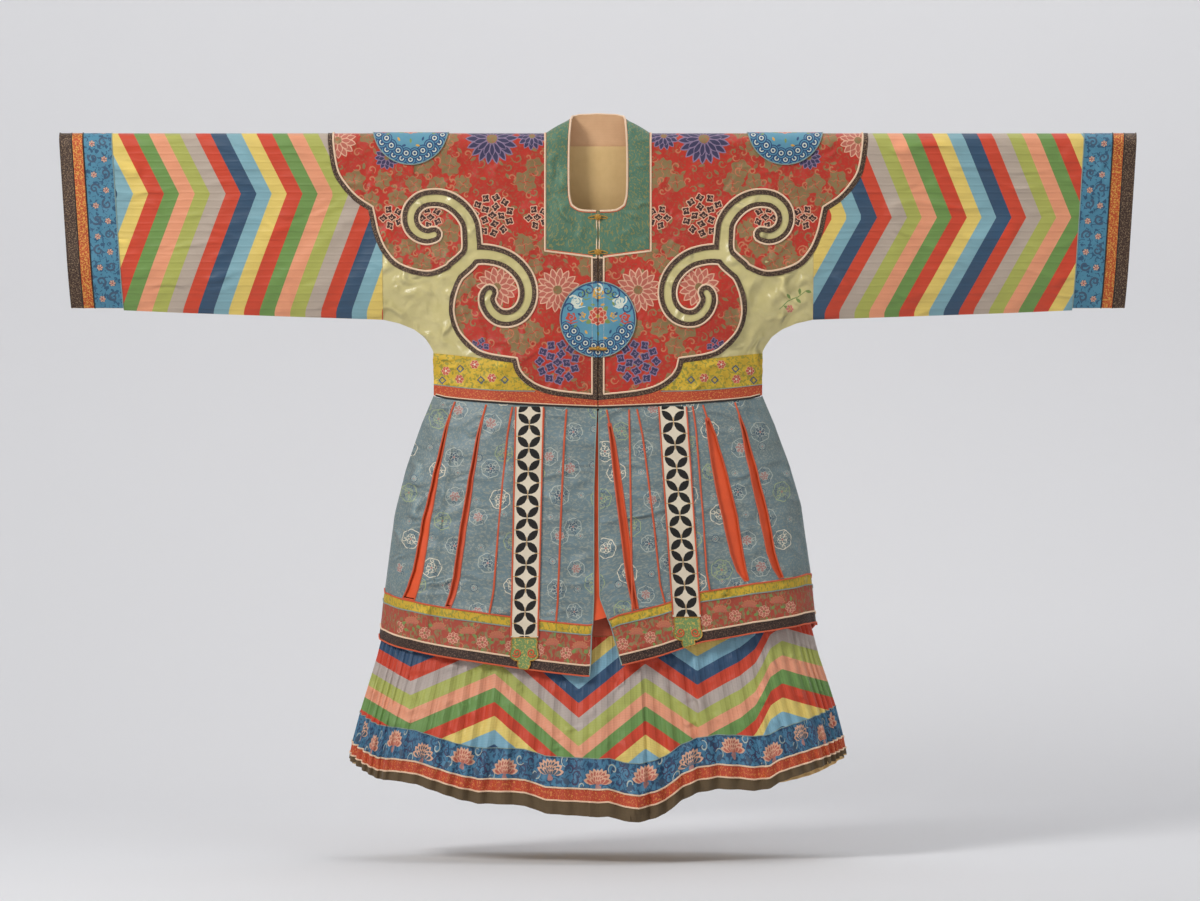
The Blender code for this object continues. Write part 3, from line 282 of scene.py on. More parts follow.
class BodyForm:
    """The upper robe's surface over cloth coordinates."""
    fold_radius = 22 * MM
    fold_quarter = fold_radius * math.pi / 2
    waist_depth = 55 * MM
    sleeve_closing = 100 * MM
    torso_closing = 160 * MM
    closed_line = mm((1060, 350), (800, 361), (600, 368), (418, 374), (387, 381), (358, 393), (338, 408),
                     (326, 425),
                     (319, 439), (319, 500), (319, 521), (319, 646))

    def gap(self, x: np.ndarray, down: np.ndarray) -> np.ndarray:
        """How far the inner face lies from the middle plane."""
        torso = 1 - ease(np.abs(x), 0.26, 0.50)
        full = self.fold_radius + (self.waist_depth - self.fold_radius) * ease(down, 0.05,
                                                                               SIDE_WAIST_T) * torso
        closing = self.sleeve_closing + (self.torso_closing - self.sleeve_closing) * torso
        way = distance_to_line(np.stack([np.abs(x), down], axis=1), self.closed_line)
        near = np.minimum(1.0, way / closing)
        return HALF_SEAM + (full - HALF_SEAM) * (1 - (1 - near) ** 2)

    def inner(self, x: np.ndarray, t: np.ndarray) -> np.ndarray:
        """The inner face at cloth points, before creases."""
        side = np.where(t >= 0, -1.0, 1.0)
        down = np.abs(t)
        angle = np.minimum(down / self.fold_radius, math.pi / 2)
        y = np.where(down < self.fold_quarter, self.fold_radius * np.sin(angle), self.gap(x, down))
        z = self.fold_radius * (np.cos(angle) - 1) - np.maximum(0, down - self.fold_quarter)
        return np.stack([x, side * y, z], axis=1)

    def crease_height(self, chart: np.ndarray) -> np.ndarray:
        """How far the listed creases and soft crumples lift the cloth, most of all in the satin."""
        lift = np.zeros(len(chart))
        for crease in BODY_CREASES:
            ends = mm((crease.start_x, crease.start_t), (crease.end_x, crease.end_t))
            for line in (ends, ends * (1, -1)):
                if np.sign(line[0][1]) < 0 and abs(crease.start_x) < 250:
                    continue
                way = distance_to_line(chart, line) / (crease.half_width * MM)
                lift += crease.height * MM * np.exp(-way ** 2)
        x, down = np.abs(chart[:, 0]), np.abs(chart[:, 1])
        satin = 1 - ease(np.hypot(x - 0.345, down - 0.335), 0.05, 0.16)
        clear = np.maximum(ease(x, 0.103, 0.14), ease(down, 0.26, 0.30)) * (1 - ease(down, 0.47, 0.515))
        crumple = crumpled(np.stack([chart[:, 0], down], axis=1), 0.034, 1.3, 2.5)
        return (lift + crumple * clear * (1.3 + 5.2 * satin) * MM) * ease(down, 0.02, 0.07)

    def place(self, chart: np.ndarray, height: float) -> np.ndarray:
        """Carry cloth points to space, `height` out from the inner face."""
        x, t = chart[:, 0], chart[:, 1]
        step = 2 * MM
        near_side = (np.abs(np.abs(x) - SIDE_X) < 3 * step) & (np.abs(t) > SIDE_YELLOW_TOP_T - step)
        low_x = np.where(near_side & (x < 0), x, x - step)
        high_x = np.where(near_side & (x > 0), x, x + step)
        across = self.inner(high_x, t) - self.inner(low_x, t)
        low_t = np.where(t > self.fold_quarter, np.maximum(t - step, self.fold_quarter), t - step)
        along = self.inner(x, t + step) - self.inner(x, low_t)
        normal = np.cross(along, across)
        normal /= np.linalg.norm(normal, axis=1)[:, None]
        point = self.inner(x, t)
        centre = np.stack([x, 0 * x, np.minimum(-self.fold_radius, point[:, 2])], axis=1)
        normal *= np.where(((point - centre) * normal).sum(axis=1) < 0, -1.0, 1.0)[:, None]
        return point + normal * (height + self.crease_height(chart))[:, None]


# Forms of the skirts

@dataclass(frozen=True)
class Ring:
    """A level of a skirt, millimetres: half width, heights at its sides and middle, half depth, how far from
    the sides it closes in, how full that curve is, and the height of its ripples."""
    half_width: float
    side_z: float
    middle_z: float
    depth: float
    closing: float
    power: float
    wave: float


@dataclass(frozen=True)
class Fold:
    """A pressed fold down a skirt, millimetres: where it starts and ends in front view, how proud its lip
    stands, how far the lip fades, and the side that lies on top."""
    top_x: float
    top_z: float
    bottom_x: float
    bottom_z: float
    depth: float
    fade: float
    on_top: Side


PEPLUM_RINGS = (
    Ring(319, -508.4, -533.4, 55, 160, 1.0, 0), Ring(343, -566, -596, 66, 200, 0.86, 1),
    Ring(372, -650, -690, 80, 260, 0.74, 2), Ring(394, -735, -785, 93, 320, 0.64, 3),
    Ring(408, -840, -897, 105, 380, 0.56, 4), Ring(413, -877, -944, 110, 400, 0.54, 4),
    Ring(416, -896, -962, 113, 410, 0.53, 4), Ring(421, -945, -1021, 118, 418, 0.51, 4),
    Ring(424, -966, -1042, 121, 424, 0.5, 4),
)
UNDERSKIRT_RINGS = (
    Ring(318.4, -515.5, -541, 53.0, 164, 0.986, 0), Ring(330, -575, -604, 54, 200, 0.86, 0.5),
    Ring(360, -650, -690, 68, 260, 0.74, 1), Ring(390, -800, -850, 80, 360, 0.6, 1.5),
    Ring(403, -915, -975, 90, 398, 0.52, 2.5), Ring(429, -1018, -1096, 109, 429, 0.5, 3.5),
    Ring(461, -1121, -1208, 130, 461, 0.5, 5), Ring(476, -1178, -1266, 144, 476, 0.5, 6),
    Ring(480, -1199, -1290, 147, 480, 0.5, 6), Ring(482, -1209, -1318, 149, 482, 0.5, 6.5),
)

# How far the front edges rise or sink from an even hem, millimetres, at x
PEPLUM_LIFT = ((-420, -14), (-400, -11), (-360, -7), (-240, -6), (-20, -10), (20, 0), (40, 8), (80, 14),
               (120, 20),
               (160, 29), (200, 37), (300, 39), (360, 35), (400, 29), (424, 18))
SKIRT_LIFT = ((-482, -3), (-425, -4), (-390, 5), (-350, 9), (-270, -3), (-230, -5), (-180, 2), (-140, 5),
              (-100, -4),
              (-20, 0), (20, 0), (50, -12), (80, -18), (110, -14), (130, -8), (160, 12), (190, 22), (230, 23),
              (270, 15), (300, 7), (330, 5), (350, 13), (380, 16), (420, 17), (450, 14), (482, 8))


@dataclass
class SkirtForm:
    """A skirt's surface over angle and level.

    Args:
        rings: its levels from the waist down.
        lift: rise of the front's edge at x.
        lift_from: level where that rise starts.
        lift_full: level where it is whole.
        folds: pressed folds on the front.
        pleats: fine pleats on each half.
        waves: ripples of the hem round the whole skirt.
        crumple: height of the soft crumples in millimetres, or 0 for none.
        crumple_end: level where they have faded away.
        side_angle: angle of the side seams, a hair short of a quarter turn.
        angle_scale: metres of cloth to one radian, for a flat chart of about the real width.
    """
    rings: Sequence[Ring]
    lift: Sequence[Tuple[float, float]]
    lift_from: float
    lift_full: float
    folds: Sequence[Fold] = ()
    pleats: int = 0
    waves: float = 7
    crumple: float = 0.0
    crumple_end: float = 6.0
    side_angle: float = math.pi / 2 - 0.0015
    angle_scale: float = 0.42
    table: np.ndarray = field(init=False)
    lengths: np.ndarray = field(init=False)

    def __post_init__(self) -> None:
        """Lay out the rings as a table, and the way down the cloth at each level."""
        self.table = np.array([[r.half_width, r.side_z, r.middle_z, r.depth, r.closing, r.power, r.wave]
                               for r in self.rings], float)
        drop = np.diff(self.table[:, 1:4].mean(axis=1) - self.table[:, 3] / 3)
        spans = np.hypot(drop, np.diff(self.table[:, 3])) * MM
        self.lengths = np.concatenate([[0.0], np.cumsum(spans)])

    def chart(self, angle: np.ndarray, level: np.ndarray) -> np.ndarray:
        """Angle and level as flat cloth coordinates in metres."""
        angle, level = np.broadcast_arrays(np.asarray(angle, float), np.asarray(level, float))
        down = np.interp(level, np.arange(len(self.rings)), self.lengths)
        return np.stack([angle * self.angle_scale, down], axis=-1)

    def unchart(self, chart: np.ndarray) -> Tuple[np.ndarray, np.ndarray]:
        """Flat cloth coordinates back to angle and level."""
        return chart[:, 0] / self.angle_scale, np.interp(chart[:, 1], self.lengths,
                                                         np.arange(len(self.rings)))

    def ring(self, level: np.ndarray) -> np.ndarray:
        """The table's values at levels, a row for each."""
        i = np.clip(level.astype(int), 0, len(self.rings) - 2)
        s = (level - i)[:, None]
        return self.table[i] * (1 - s) + self.table[i + 1] * s

    def inner(self, angle: np.ndarray, level: np.ndarray, pressed: bool = True) -> np.ndarray:
        """The inner face at angles and levels, with or without its pleats and folds."""
        half, side_z, middle_z, depth, closing, power, wave = self.ring(level).T
        sine, cosine = np.sin(angle), np.cos(angle)
        x = half * sine
        near = np.clip((half - np.abs(x)) / closing, 0, 1)
        reach = depth * (1 - (1 - near) ** 2) ** power
        z = side_z + (middle_z - side_z) * (0.6 * np.abs(cosine) + 0.4 * (1 - np.abs(sine)))
        fade = np.minimum(1, 6 * np.abs(cosine))
        ripple = wave * fade * np.cos(self.waves * angle + 0.5 * np.sin(3 * angle))
        y = reach + ripple * np.abs(cosine)
        x = x + ripple * sine * fade
        front = cosine >= 0
        rows = np.array(self.lift, float)
        grows = ease(level, self.lift_from, self.lift_full)
        seam = np.interp(x, rows[:, 0], rows[:, 1])
        shift = np.where(front, seam, seam + (7 * np.sin(angle * 5) - seam) * ease(np.abs(cosine), 0, 0.5))
        z = z + shift * grows * np.minimum(1, 8 * np.abs(cosine) + 0.55)
        if self.pleats and pressed:
            share = (np.mod(angle + math.pi / 2, math.pi)) / math.pi
            drift = 0.16 * np.sin(share * 41) + 0.1 * np.sin(share * 17 + level)
            beat = -np.cos(2 * math.pi * (self.pleats * share + drift))
            sharp = np.sign(beat) * np.abs(beat) ** 0.7
            ends = np.minimum(1, 24 * np.minimum(share, 1 - share))
            pleat = wave * 0.75 * ends * sharp * (1 + 0.35 * np.sin(share * 23))
            outwards = np.minimum(1, 2 * np.abs(cosine))
            x, y = x + pleat * sine * (1 - outwards), y + pleat * outwards
        for fold in self.folds if pressed else ():
            run = (z - fold.top_z) / (fold.bottom_z - fold.top_z)
            line_x = fold.top_x + (fold.bottom_x - fold.top_x) * run
            beyond = (x - line_x) * fold.on_top.value
            lip = np.where(beyond > 0, np.exp(-np.maximum(beyond, 0) / fold.fade),
                           np.exp(-(beyond / 2.5) ** 2))
            held = ease(run, -0.05, 0.2) * (1 - ease(run, 1.0, 1.12))
            y = y + np.where(front, fold.depth * lip * held, 0)
        return np.stack([x, np.where(front, -y, y), z], axis=1) * MM

    def place(self, chart: np.ndarray, height: float) -> np.ndarray:
        """Carry flat cloth points to space, `height` out from the inner face."""
        angle, level = self.unchart(chart)
        step, mid = 0.01, math.pi / 2
        low_angle, high_angle = angle - step, angle + step
        for seam in (-mid, mid, 3 * mid):
            close = np.abs(angle - seam) < 2 * step
            high_angle = np.where(close & (angle < seam), angle, high_angle)
            low_angle = np.where(close & (angle >= seam), angle, low_angle)
        low, high = np.maximum(0, level - 0.1), np.minimum(len(self.rings) - 1.0, level + 0.1)
        point = self.inner(angle, level)
        across = self.inner(high_angle, level, False) - self.inner(low_angle, level, False)
        along = self.inner(angle, high, False) - self.inner(angle, low, False)
        normal = np.cross(along, across)
        normal /= np.maximum(np.linalg.norm(normal, axis=1), 1e-9)[:, None]
        normal *= np.where((normal[:, :2] * point[:, :2]).sum(axis=1) < 0, -1.0, 1.0)[:, None]
        level_share = ease(level, 0.0, 0.5) * (1 - ease(level, self.crumple_end - 0.6, self.crumple_end))
        crumple = crumpled(chart, 0.05, 2.6, 7.5) * level_share * np.minimum(1, 5 * np.abs(np.cos(angle)))
        return point + normal * (height + crumple * self.crumple * MM)[:, None]

    def seen_at(self, view: Line, face: Face = Face.FRONT) -> Line:
        """Chart points that stand at given x and z, in metres, as seen from the front or the back."""
        view = np.asarray(view, float)
        low, high = np.zeros(len(view)), np.full(len(view), len(self.rings) - 1.0)
        for _ in range(26):
            level = (low + high) / 2
            angle = np.arcsin(np.clip(view[:, 0] / (self.ring(level)[:, 0] * MM), -0.9999, 0.9999))
            angle = math.pi - angle if face is Face.BACK else angle
            above = self.inner(angle, level)[:, 2] > view[:, 1]
            low, high = np.where(above, level, low), np.where(above, high, level)
        return self.chart(angle, level)


PEPLUM_FOLDS = (
    Fold(-276, -560, -330, -960, 4, 30, Side.LEFT), Fold(-165, -560, -212, -960, 3, 26, Side.RIGHT),
    Fold(-60, -560, -70, -960, 3.5, 24, Side.LEFT), Fold(76, -560, 140, -900, 3.5, 24, Side.RIGHT),
    Fold(182, -640, 215, -880, 3, 24, Side.LEFT),
)
SKIRT_FOLDS = (
    Fold(81, -1010, 92, -1330, 11, 30, Side.LEFT), Fold(184, -1000, 196, -1190, 8, 26, Side.RIGHT),
    Fold(-383, -1000, -412, -1240, 9, 30, Side.RIGHT), Fold(-10, -980, -14, -1330, 7, 26, Side.RIGHT),
    Fold(-176, -1030, -170, -1290, 5, 22, Side.LEFT), Fold(-90, -1060, -88, -1310, 5, 20, Side.RIGHT),
    Fold(313, -1000, 322, -1250, 8, 26, Side.RIGHT), Fold(130, -1210, 60, -1330, 6, 26, Side.LEFT),
)
BODY = BodyForm()
PEPLUM = SkirtForm(PEPLUM_RINGS, PEPLUM_LIFT, 1.0, 5.0, PEPLUM_FOLDS, crumple=4.5)
UNDERSKIRT = SkirtForm(UNDERSKIRT_RINGS, SKIRT_LIFT, 4.3, 6.4, SKIRT_FOLDS, pleats=36)


# Cutting and sewing

@dataclass
class Zone:
    """A closed line in a cloth's chart, and the finish of what lies inside it."""
    line: Line
    finish: str


@dataclass
class Cut:
    """A cloth cut into triangles: chart points, corners, and the finish of each triangle."""
    points: np.ndarray
    triangles: np.ndarray
    finishes: np.ndarray

    def only(self, *names: str) -> "Cut":
        """The triangles of the named finishes."""
        return Cut(self.points, self.triangles[np.isin(self.finishes, names)],
                   self.finishes[np.isin(self.finishes, names)])

    def without(self, *names: str) -> "Cut":
        """The triangles of all other finishes."""
        kept = ~np.isin(self.finishes, names)
        return Cut(self.points, self.triangles[kept], self.finishes[kept])

    def area(self) -> float:
        """Flat area in square metres."""
        a, b, c = (self.points[self.triangles[:, k]] for k in range(3))
        ab, ac = b - a, c - a
        return float(np.abs(ab[:, 0] * ac[:, 1] - ab[:, 1] * ac[:, 0]).sum() / 2)

    def size(self) -> Tuple[float, float]:
        """Width and length of the flat piece in metres."""
        used = self.points[np.unique(self.triangles)]
        span = used.max(axis=0) - used.min(axis=0)
        return float(span[0]), float(span[1])

    def border(self, inner: Sequence[str], outer: Sequence[str]) -> List[Line]:
        """Lines along which a finish of `inner` meets one of `outer`."""
        is_inner, is_outer = np.isin(self.finishes, inner), np.isin(self.finishes, outer)
        owners: Dict[Tuple[int, int], int] = {}
        for number, (a, b, c) in enumerate(self.triangles):
            for pair in ((a, b), (b, c), (c, a)):
                owners[pair] = number
        ahead: Dict[int, int] = {}
        for (a, b), number in owners.items():
            other = owners.get((b, a))
            if is_inner[number] and (is_outer[other] if other is not None else "edge" in outer):
                ahead[a] = b
        starts = [a for a in ahead if a not in set(ahead.values())]
        lines = []
        while ahead:
            here = starts.pop() if starts else next(iter(ahead))
            chain = [here]
            while here in ahead:
                here = ahead.pop(here)
                chain.append(here)
            if len(chain) > 3:
                lines.append(self.points[chain])
        return lines


def cut_cloth(outline: Line, ground: str, zones: Sequence[Zone], spacing: float,
              seams: Sequence[Line] = ()) -> Cut:
    """Cut a cloth to an outline and divide it by its woven or sewn zones.

    Args:
        outline: the cut in the chart.
        ground: finish of what no zone covers.
        zones: what lies on it, a later one over an earlier one.
        spacing: size of the triangles.
        seams: open lines that triangles keep to.

    Returns:
        The cut cloth.
    """
    outline = resampled(outline, spacing, closed=True)
    loops = [outline] + [resampled(zone.line, spacing, closed=True) for zone in zones]
    points = np.vstack(loops)
    starts = np.cumsum([0] + [len(loop) for loop in loops])
    edges = []
    for first, last in zip(starts.tolist(), starts[1:].tolist()):
        edges += [(k, k + 1 if k + 1 < last else first) for k in range(first, last)]
    for seam in seams:
        seam = resampled(seam, spacing)
        first = len(points)
        points = np.vstack([points, seam])
        edges += [(first + k, first + k + 1) for k in range(len(seam) - 1)]
    near = kdtree.KDTree(len(points))
    for number, (u, v) in enumerate(points):
        near.insert((u, v, 0), number)
    near.balance()
    low, high = outline.min(axis=0), outline.max(axis=0)
    us, vs = np.arange(low[0], high[0], spacing) + spacing / 2, np.arange(low[1], high[1],
                                                                          spacing) + spacing / 2
    field_points = np.stack(np.meshgrid(us, vs), axis=-1).reshape(-1, 2)
    field_points = field_points[inside(field_points, outline)]
    clear = [near.find((u, v, 0))[2] > 0.45 * spacing for u, v in field_points]
    points = np.vstack([points, field_points[np.array(clear, bool)]])
    found = delaunay_2d_cdt([Vector(p) for p in points], edges, [], 0, 1e-7)
    flat, triangles = np.array([tuple(v) for v in found[0]]), np.array(found[2])
    middles = flat[triangles].mean(axis=1)
    owner = np.full(len(triangles), -1)
    order = np.argsort(middles[:, 0])
    across = middles[order, 0]
    for number, loop in enumerate(loops):
        low, high = loop.min(axis=0), loop.max(axis=0)
        near_by = order[np.searchsorted(across, low[0]):np.searchsorted(across, high[0])]
        near_by = near_by[(middles[near_by, 1] > low[1]) & (middles[near_by, 1] < high[1])]
        owner[near_by[inside(middles[near_by], loop)]] = number
    names = np.array([ground] + [zone.finish for zone in zones])
    within = inside(middles, outline) & (owner >= 0)
    return Cut(flat, triangles[within], names[owner[within]])


def grid_cut(us: Sequence[float], vs: Sequence[float], finish: str) -> Cut:
    """A rectangular piece of cloth in even rows and columns."""
    us, vs = np.asarray(us, float), np.asarray(vs, float)
    points = np.stack(np.meshgrid(us, vs), axis=-1).reshape(-1, 2)
    triangles = []
    wide = len(us)
    for row in range(len(vs) - 1):
        for k in range(wide - 1):
            a = row * wide + k
            triangles += [(a, a + 1, a + wide + 1), (a, a + wide + 1, a + wide)]
    return Cut(points, np.array(triangles), np.array([finish] * len(triangles)))


def new_object(name: str, points: np.ndarray, faces: Sequence[Sequence[int]], finishes: Sequence[str],
               uvs: np.ndarray, layer: str = "cut") -> bpy.types.Object:
    """A named mesh object with a finish for each face.

    Args:
        name: the piece's name.
        points: places of its points.
        faces: corners of each face.
        finishes: the finish of each face.
        uvs: flat cloth coordinates of each point, in metres.
        layer: name of the UV layer.

    Returns:
        The object.
    """
    mesh = bpy.data.meshes.new(name)
    mesh.from_pydata(np.asarray(points).tolist(), [], [list(map(int, face)) for face in faces])
    slots = sorted(set(finishes))
    for slot in slots:
        mesh.materials.append(FINISHES[slot].material())
    number = {slot: i for i, slot in enumerate(slots)}
    mesh.polygons.foreach_set("material_index", [number[finish] for finish in finishes])
    corners = np.zeros(len(mesh.loops), dtype=np.int32)
    mesh.loops.foreach_get("vertex_index", corners)
    mesh.uv_layers.new(name=layer).data.foreach_set("uv", uvs[corners].ravel())
    mesh.shade_smooth()
    mesh.set_sharp_from_angle(angle=math.radians(50))
    thing = bpy.data.objects.new(name, mesh)
    bpy.context.scene.collection.objects.link(thing)
    return thing


def add_layer(thing: bpy.types.Object, name: str, values: np.ndarray) -> None:
    """A further UV layer from a pair of values for each point."""
    corners = np.zeros(len(thing.data.loops), dtype=np.int32)
    thing.data.loops.foreach_get("vertex_index", corners)
    thing.data.uv_layers.new(name=name).data.foreach_set("uv", values[corners].ravel())


def sew(name: str, place: Place, cut: Cut, low: float, high: float, back: str) -> bpy.types.Object:
    """Turn a cut into a cloth shell with an outer face, an inner face and a rim.

    Args:
        name: the piece's name.
        place: carries chart points and a height to space.
        cut: the flat cloth.
        low: height of the inner face.
        high: height of the outer face.
        back: finish of the inner face and the rim.

    Returns:
        The object.
    """
    used, corners = np.unique(cut.triangles, return_inverse=True)
    corners = corners.reshape(-1, 3)
    flat = cut.points[used]
    outer, inner = place(flat, high), place(flat, low)
    a, b, c = (outer[corners[:, k]] for k in range(3))
    facing = (np.cross(b - a, c - a) * (outer - inner)[corners[:, 0]]).sum(axis=1)
    if facing.sum() < 0:
        corners = corners[:, ::-1]
    count = len(used)
    directed = np.concatenate([corners[:, [0, 1]], corners[:, [1, 2]], corners[:, [2, 0]]])
    keys, others = directed[:, 0] * count + directed[:, 1], directed[:, 1] * count + directed[:, 0]
    rim = directed[~np.isin(keys, others)]
    faces = corners.tolist() + (corners[:, ::-1] + count).tolist()
    faces += [[b, a, a + count, b + count] for a, b in rim.tolist()]
    finishes = list(cut.finishes) + [back] * (len(corners) + len(rim))
    return new_object(name, np.vstack([outer, inner]), faces, finishes, np.vstack([flat, flat]))


def cord_mesh(line: np.ndarray, radius: float, sides: int = 6) -> Tuple[np.ndarray, List[List[int]],
                                                                        np.ndarray]:
    """A round cord along a line in space: its points, faces and cloth coordinates."""
    tangent = np.gradient(line, axis=0)
    tangent /= np.maximum(np.linalg.norm(tangent, axis=1), 1e-9)[:, None]
    side = np.cross(tangent[0], (0.31, 0.22, 0.93))
    side /= np.linalg.norm(side)
    turns = np.arange(sides) * 2 * math.pi / sides
    length = np.concatenate([[0], np.cumsum(np.linalg.norm(np.diff(line, axis=0), axis=1))])
    points, uvs = [], []
    for k, direction in enumerate(tangent):
        side = side - direction * (side @ direction)
        side /= np.linalg.norm(side)
        up = np.cross(direction, side)
        points.append(line[k] + radius * (np.cos(turns)[:, None] * side + np.sin(turns)[:, None] * up))
        uvs.append(np.stack([np.full(sides, length[k]), turns * radius], axis=1))
    faces = []
    for k in range(len(line) - 1):
        for s in range(sides):
            a, b = k * sides + s, k * sides + (s + 1) % sides
            faces.append([a, b, b + sides, a + sides])
    last = (len(line) - 1) * sides
    faces += [list(range(sides))[::-1], list(range(last, last + sides))]
    return np.vstack(points), faces, np.vstack(uvs)


def lay_cords(name: str, lines: Sequence[np.ndarray], radius: float, finish: str,
              sides: int = 6) -> bpy.types.Object:
    """Cords along several lines, as one piece."""
    points, faces, uvs, count = [], [], [], 0
    for line in lines:
        some, corners, flat = cord_mesh(line, radius, sides)
        points.append(some)
        uvs.append(flat)
        faces += [[corner + count for corner in face] for face in corners]
        count += len(some)
    return new_object(name, np.vstack(points), faces, [finish] * len(faces), np.vstack(uvs))


def own(thing: bpy.types.Object, slot: str, *nodes: str) -> bpy.types.Object:
    """Fix a piece to the frame and hide the nodes it stands for."""
    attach(thing, "root")
    if nodes:
        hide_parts(*nodes)
    LOG.info("piece %s", thing.name)
    return thing


def hang(thing: bpy.types.Object, cut: Cut, slot: str, *nodes: str, strip: float = 0.0) -> bpy.types.Object:
    """Fix a cloth piece to the frame.

    Args:
        thing: the cloth.
        cut: what it was sewn from.
        slot: its colour slot; not used.
        nodes: the nodes it stands for.
        strip: the width of a braid or band cut straight and laid along a curve, or 0 for a shaped cut.

    Returns:
        The cloth.
    """
    own(thing, slot, *nodes)
    areas = np.zeros(len(thing.data.polygons), np.float32)
    thing.data.polygons.foreach_get("area", areas)
    area = float(areas.sum()) / 2
    if strip:
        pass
    else:
        width, length = cut.size()
        width *= area / cut.area()
    return thing


def hang_cloth(name: str, place: Place, cut: Cut, low: float, high: float, back: str, slot: str, *nodes: str,
               strip: float = 0.0) -> bpy.types.Object:
    """Sew a cut as a shell, with the arguments of `sew`, and hang it, with those of `hang`."""
    piece = sew(name, place, cut, low, high, back)
    return hang(piece, cut, slot, *nodes, strip=strip)


def lay_piping(name: str, lines: Sequence[np.ndarray], radius_mm: float, finish: str, slot: str,
               sides: int = 6) -> None:
    """Lay cords of a radius in millimetres along lines, and fix them to the frame as one piece."""
    own(lay_cords(name, lines, radius_mm * MM, finish, sides), slot)


# Finishes

class Weave(Enum):
    """How the threads of a finish run."""
    PLAIN = "plain"
    SATIN = "satin"
    TWILL = "twill"
    BRAID = "braid"
    STITCH = "stitch"
    CORD = "cord"


def linear(code: str) -> Tuple[float, float, float, float]:
    """An sRGB hex colour as linear red, green, blue and alpha."""
    parts = [int(code[i:i + 2], 16) / 255 for i in (1, 3, 5)]
    parts = [p / 12.92 if p <= 0.04045 else ((p + 0.055) / 1.055) ** 2.4 for p in parts]
    return (*parts, 1.0)


def add_node(tree: bpy.types.NodeTree, kind: str, values: Optional[dict] = None, links: Optional[dict] = None,
             **settings) -> bpy.types.Node:
    """A node with its settings, input values and incoming links.

    Args:
        tree: the material's node tree.
        kind: the node's type.
        values: input name or number to value.
        links: input name or number to the output that feeds it.
        **settings: attributes of the node.

    Returns:
        The node.
    """
    node = tree.nodes.new(kind)
    for key, value in settings.items():
        setattr(node, key, value)
    for key, value in (values or {}).items():
        node.inputs[key].default_value = value
    for key, source in (links or {}).items():
        tree.links.new(source, node.inputs[key])
    return node


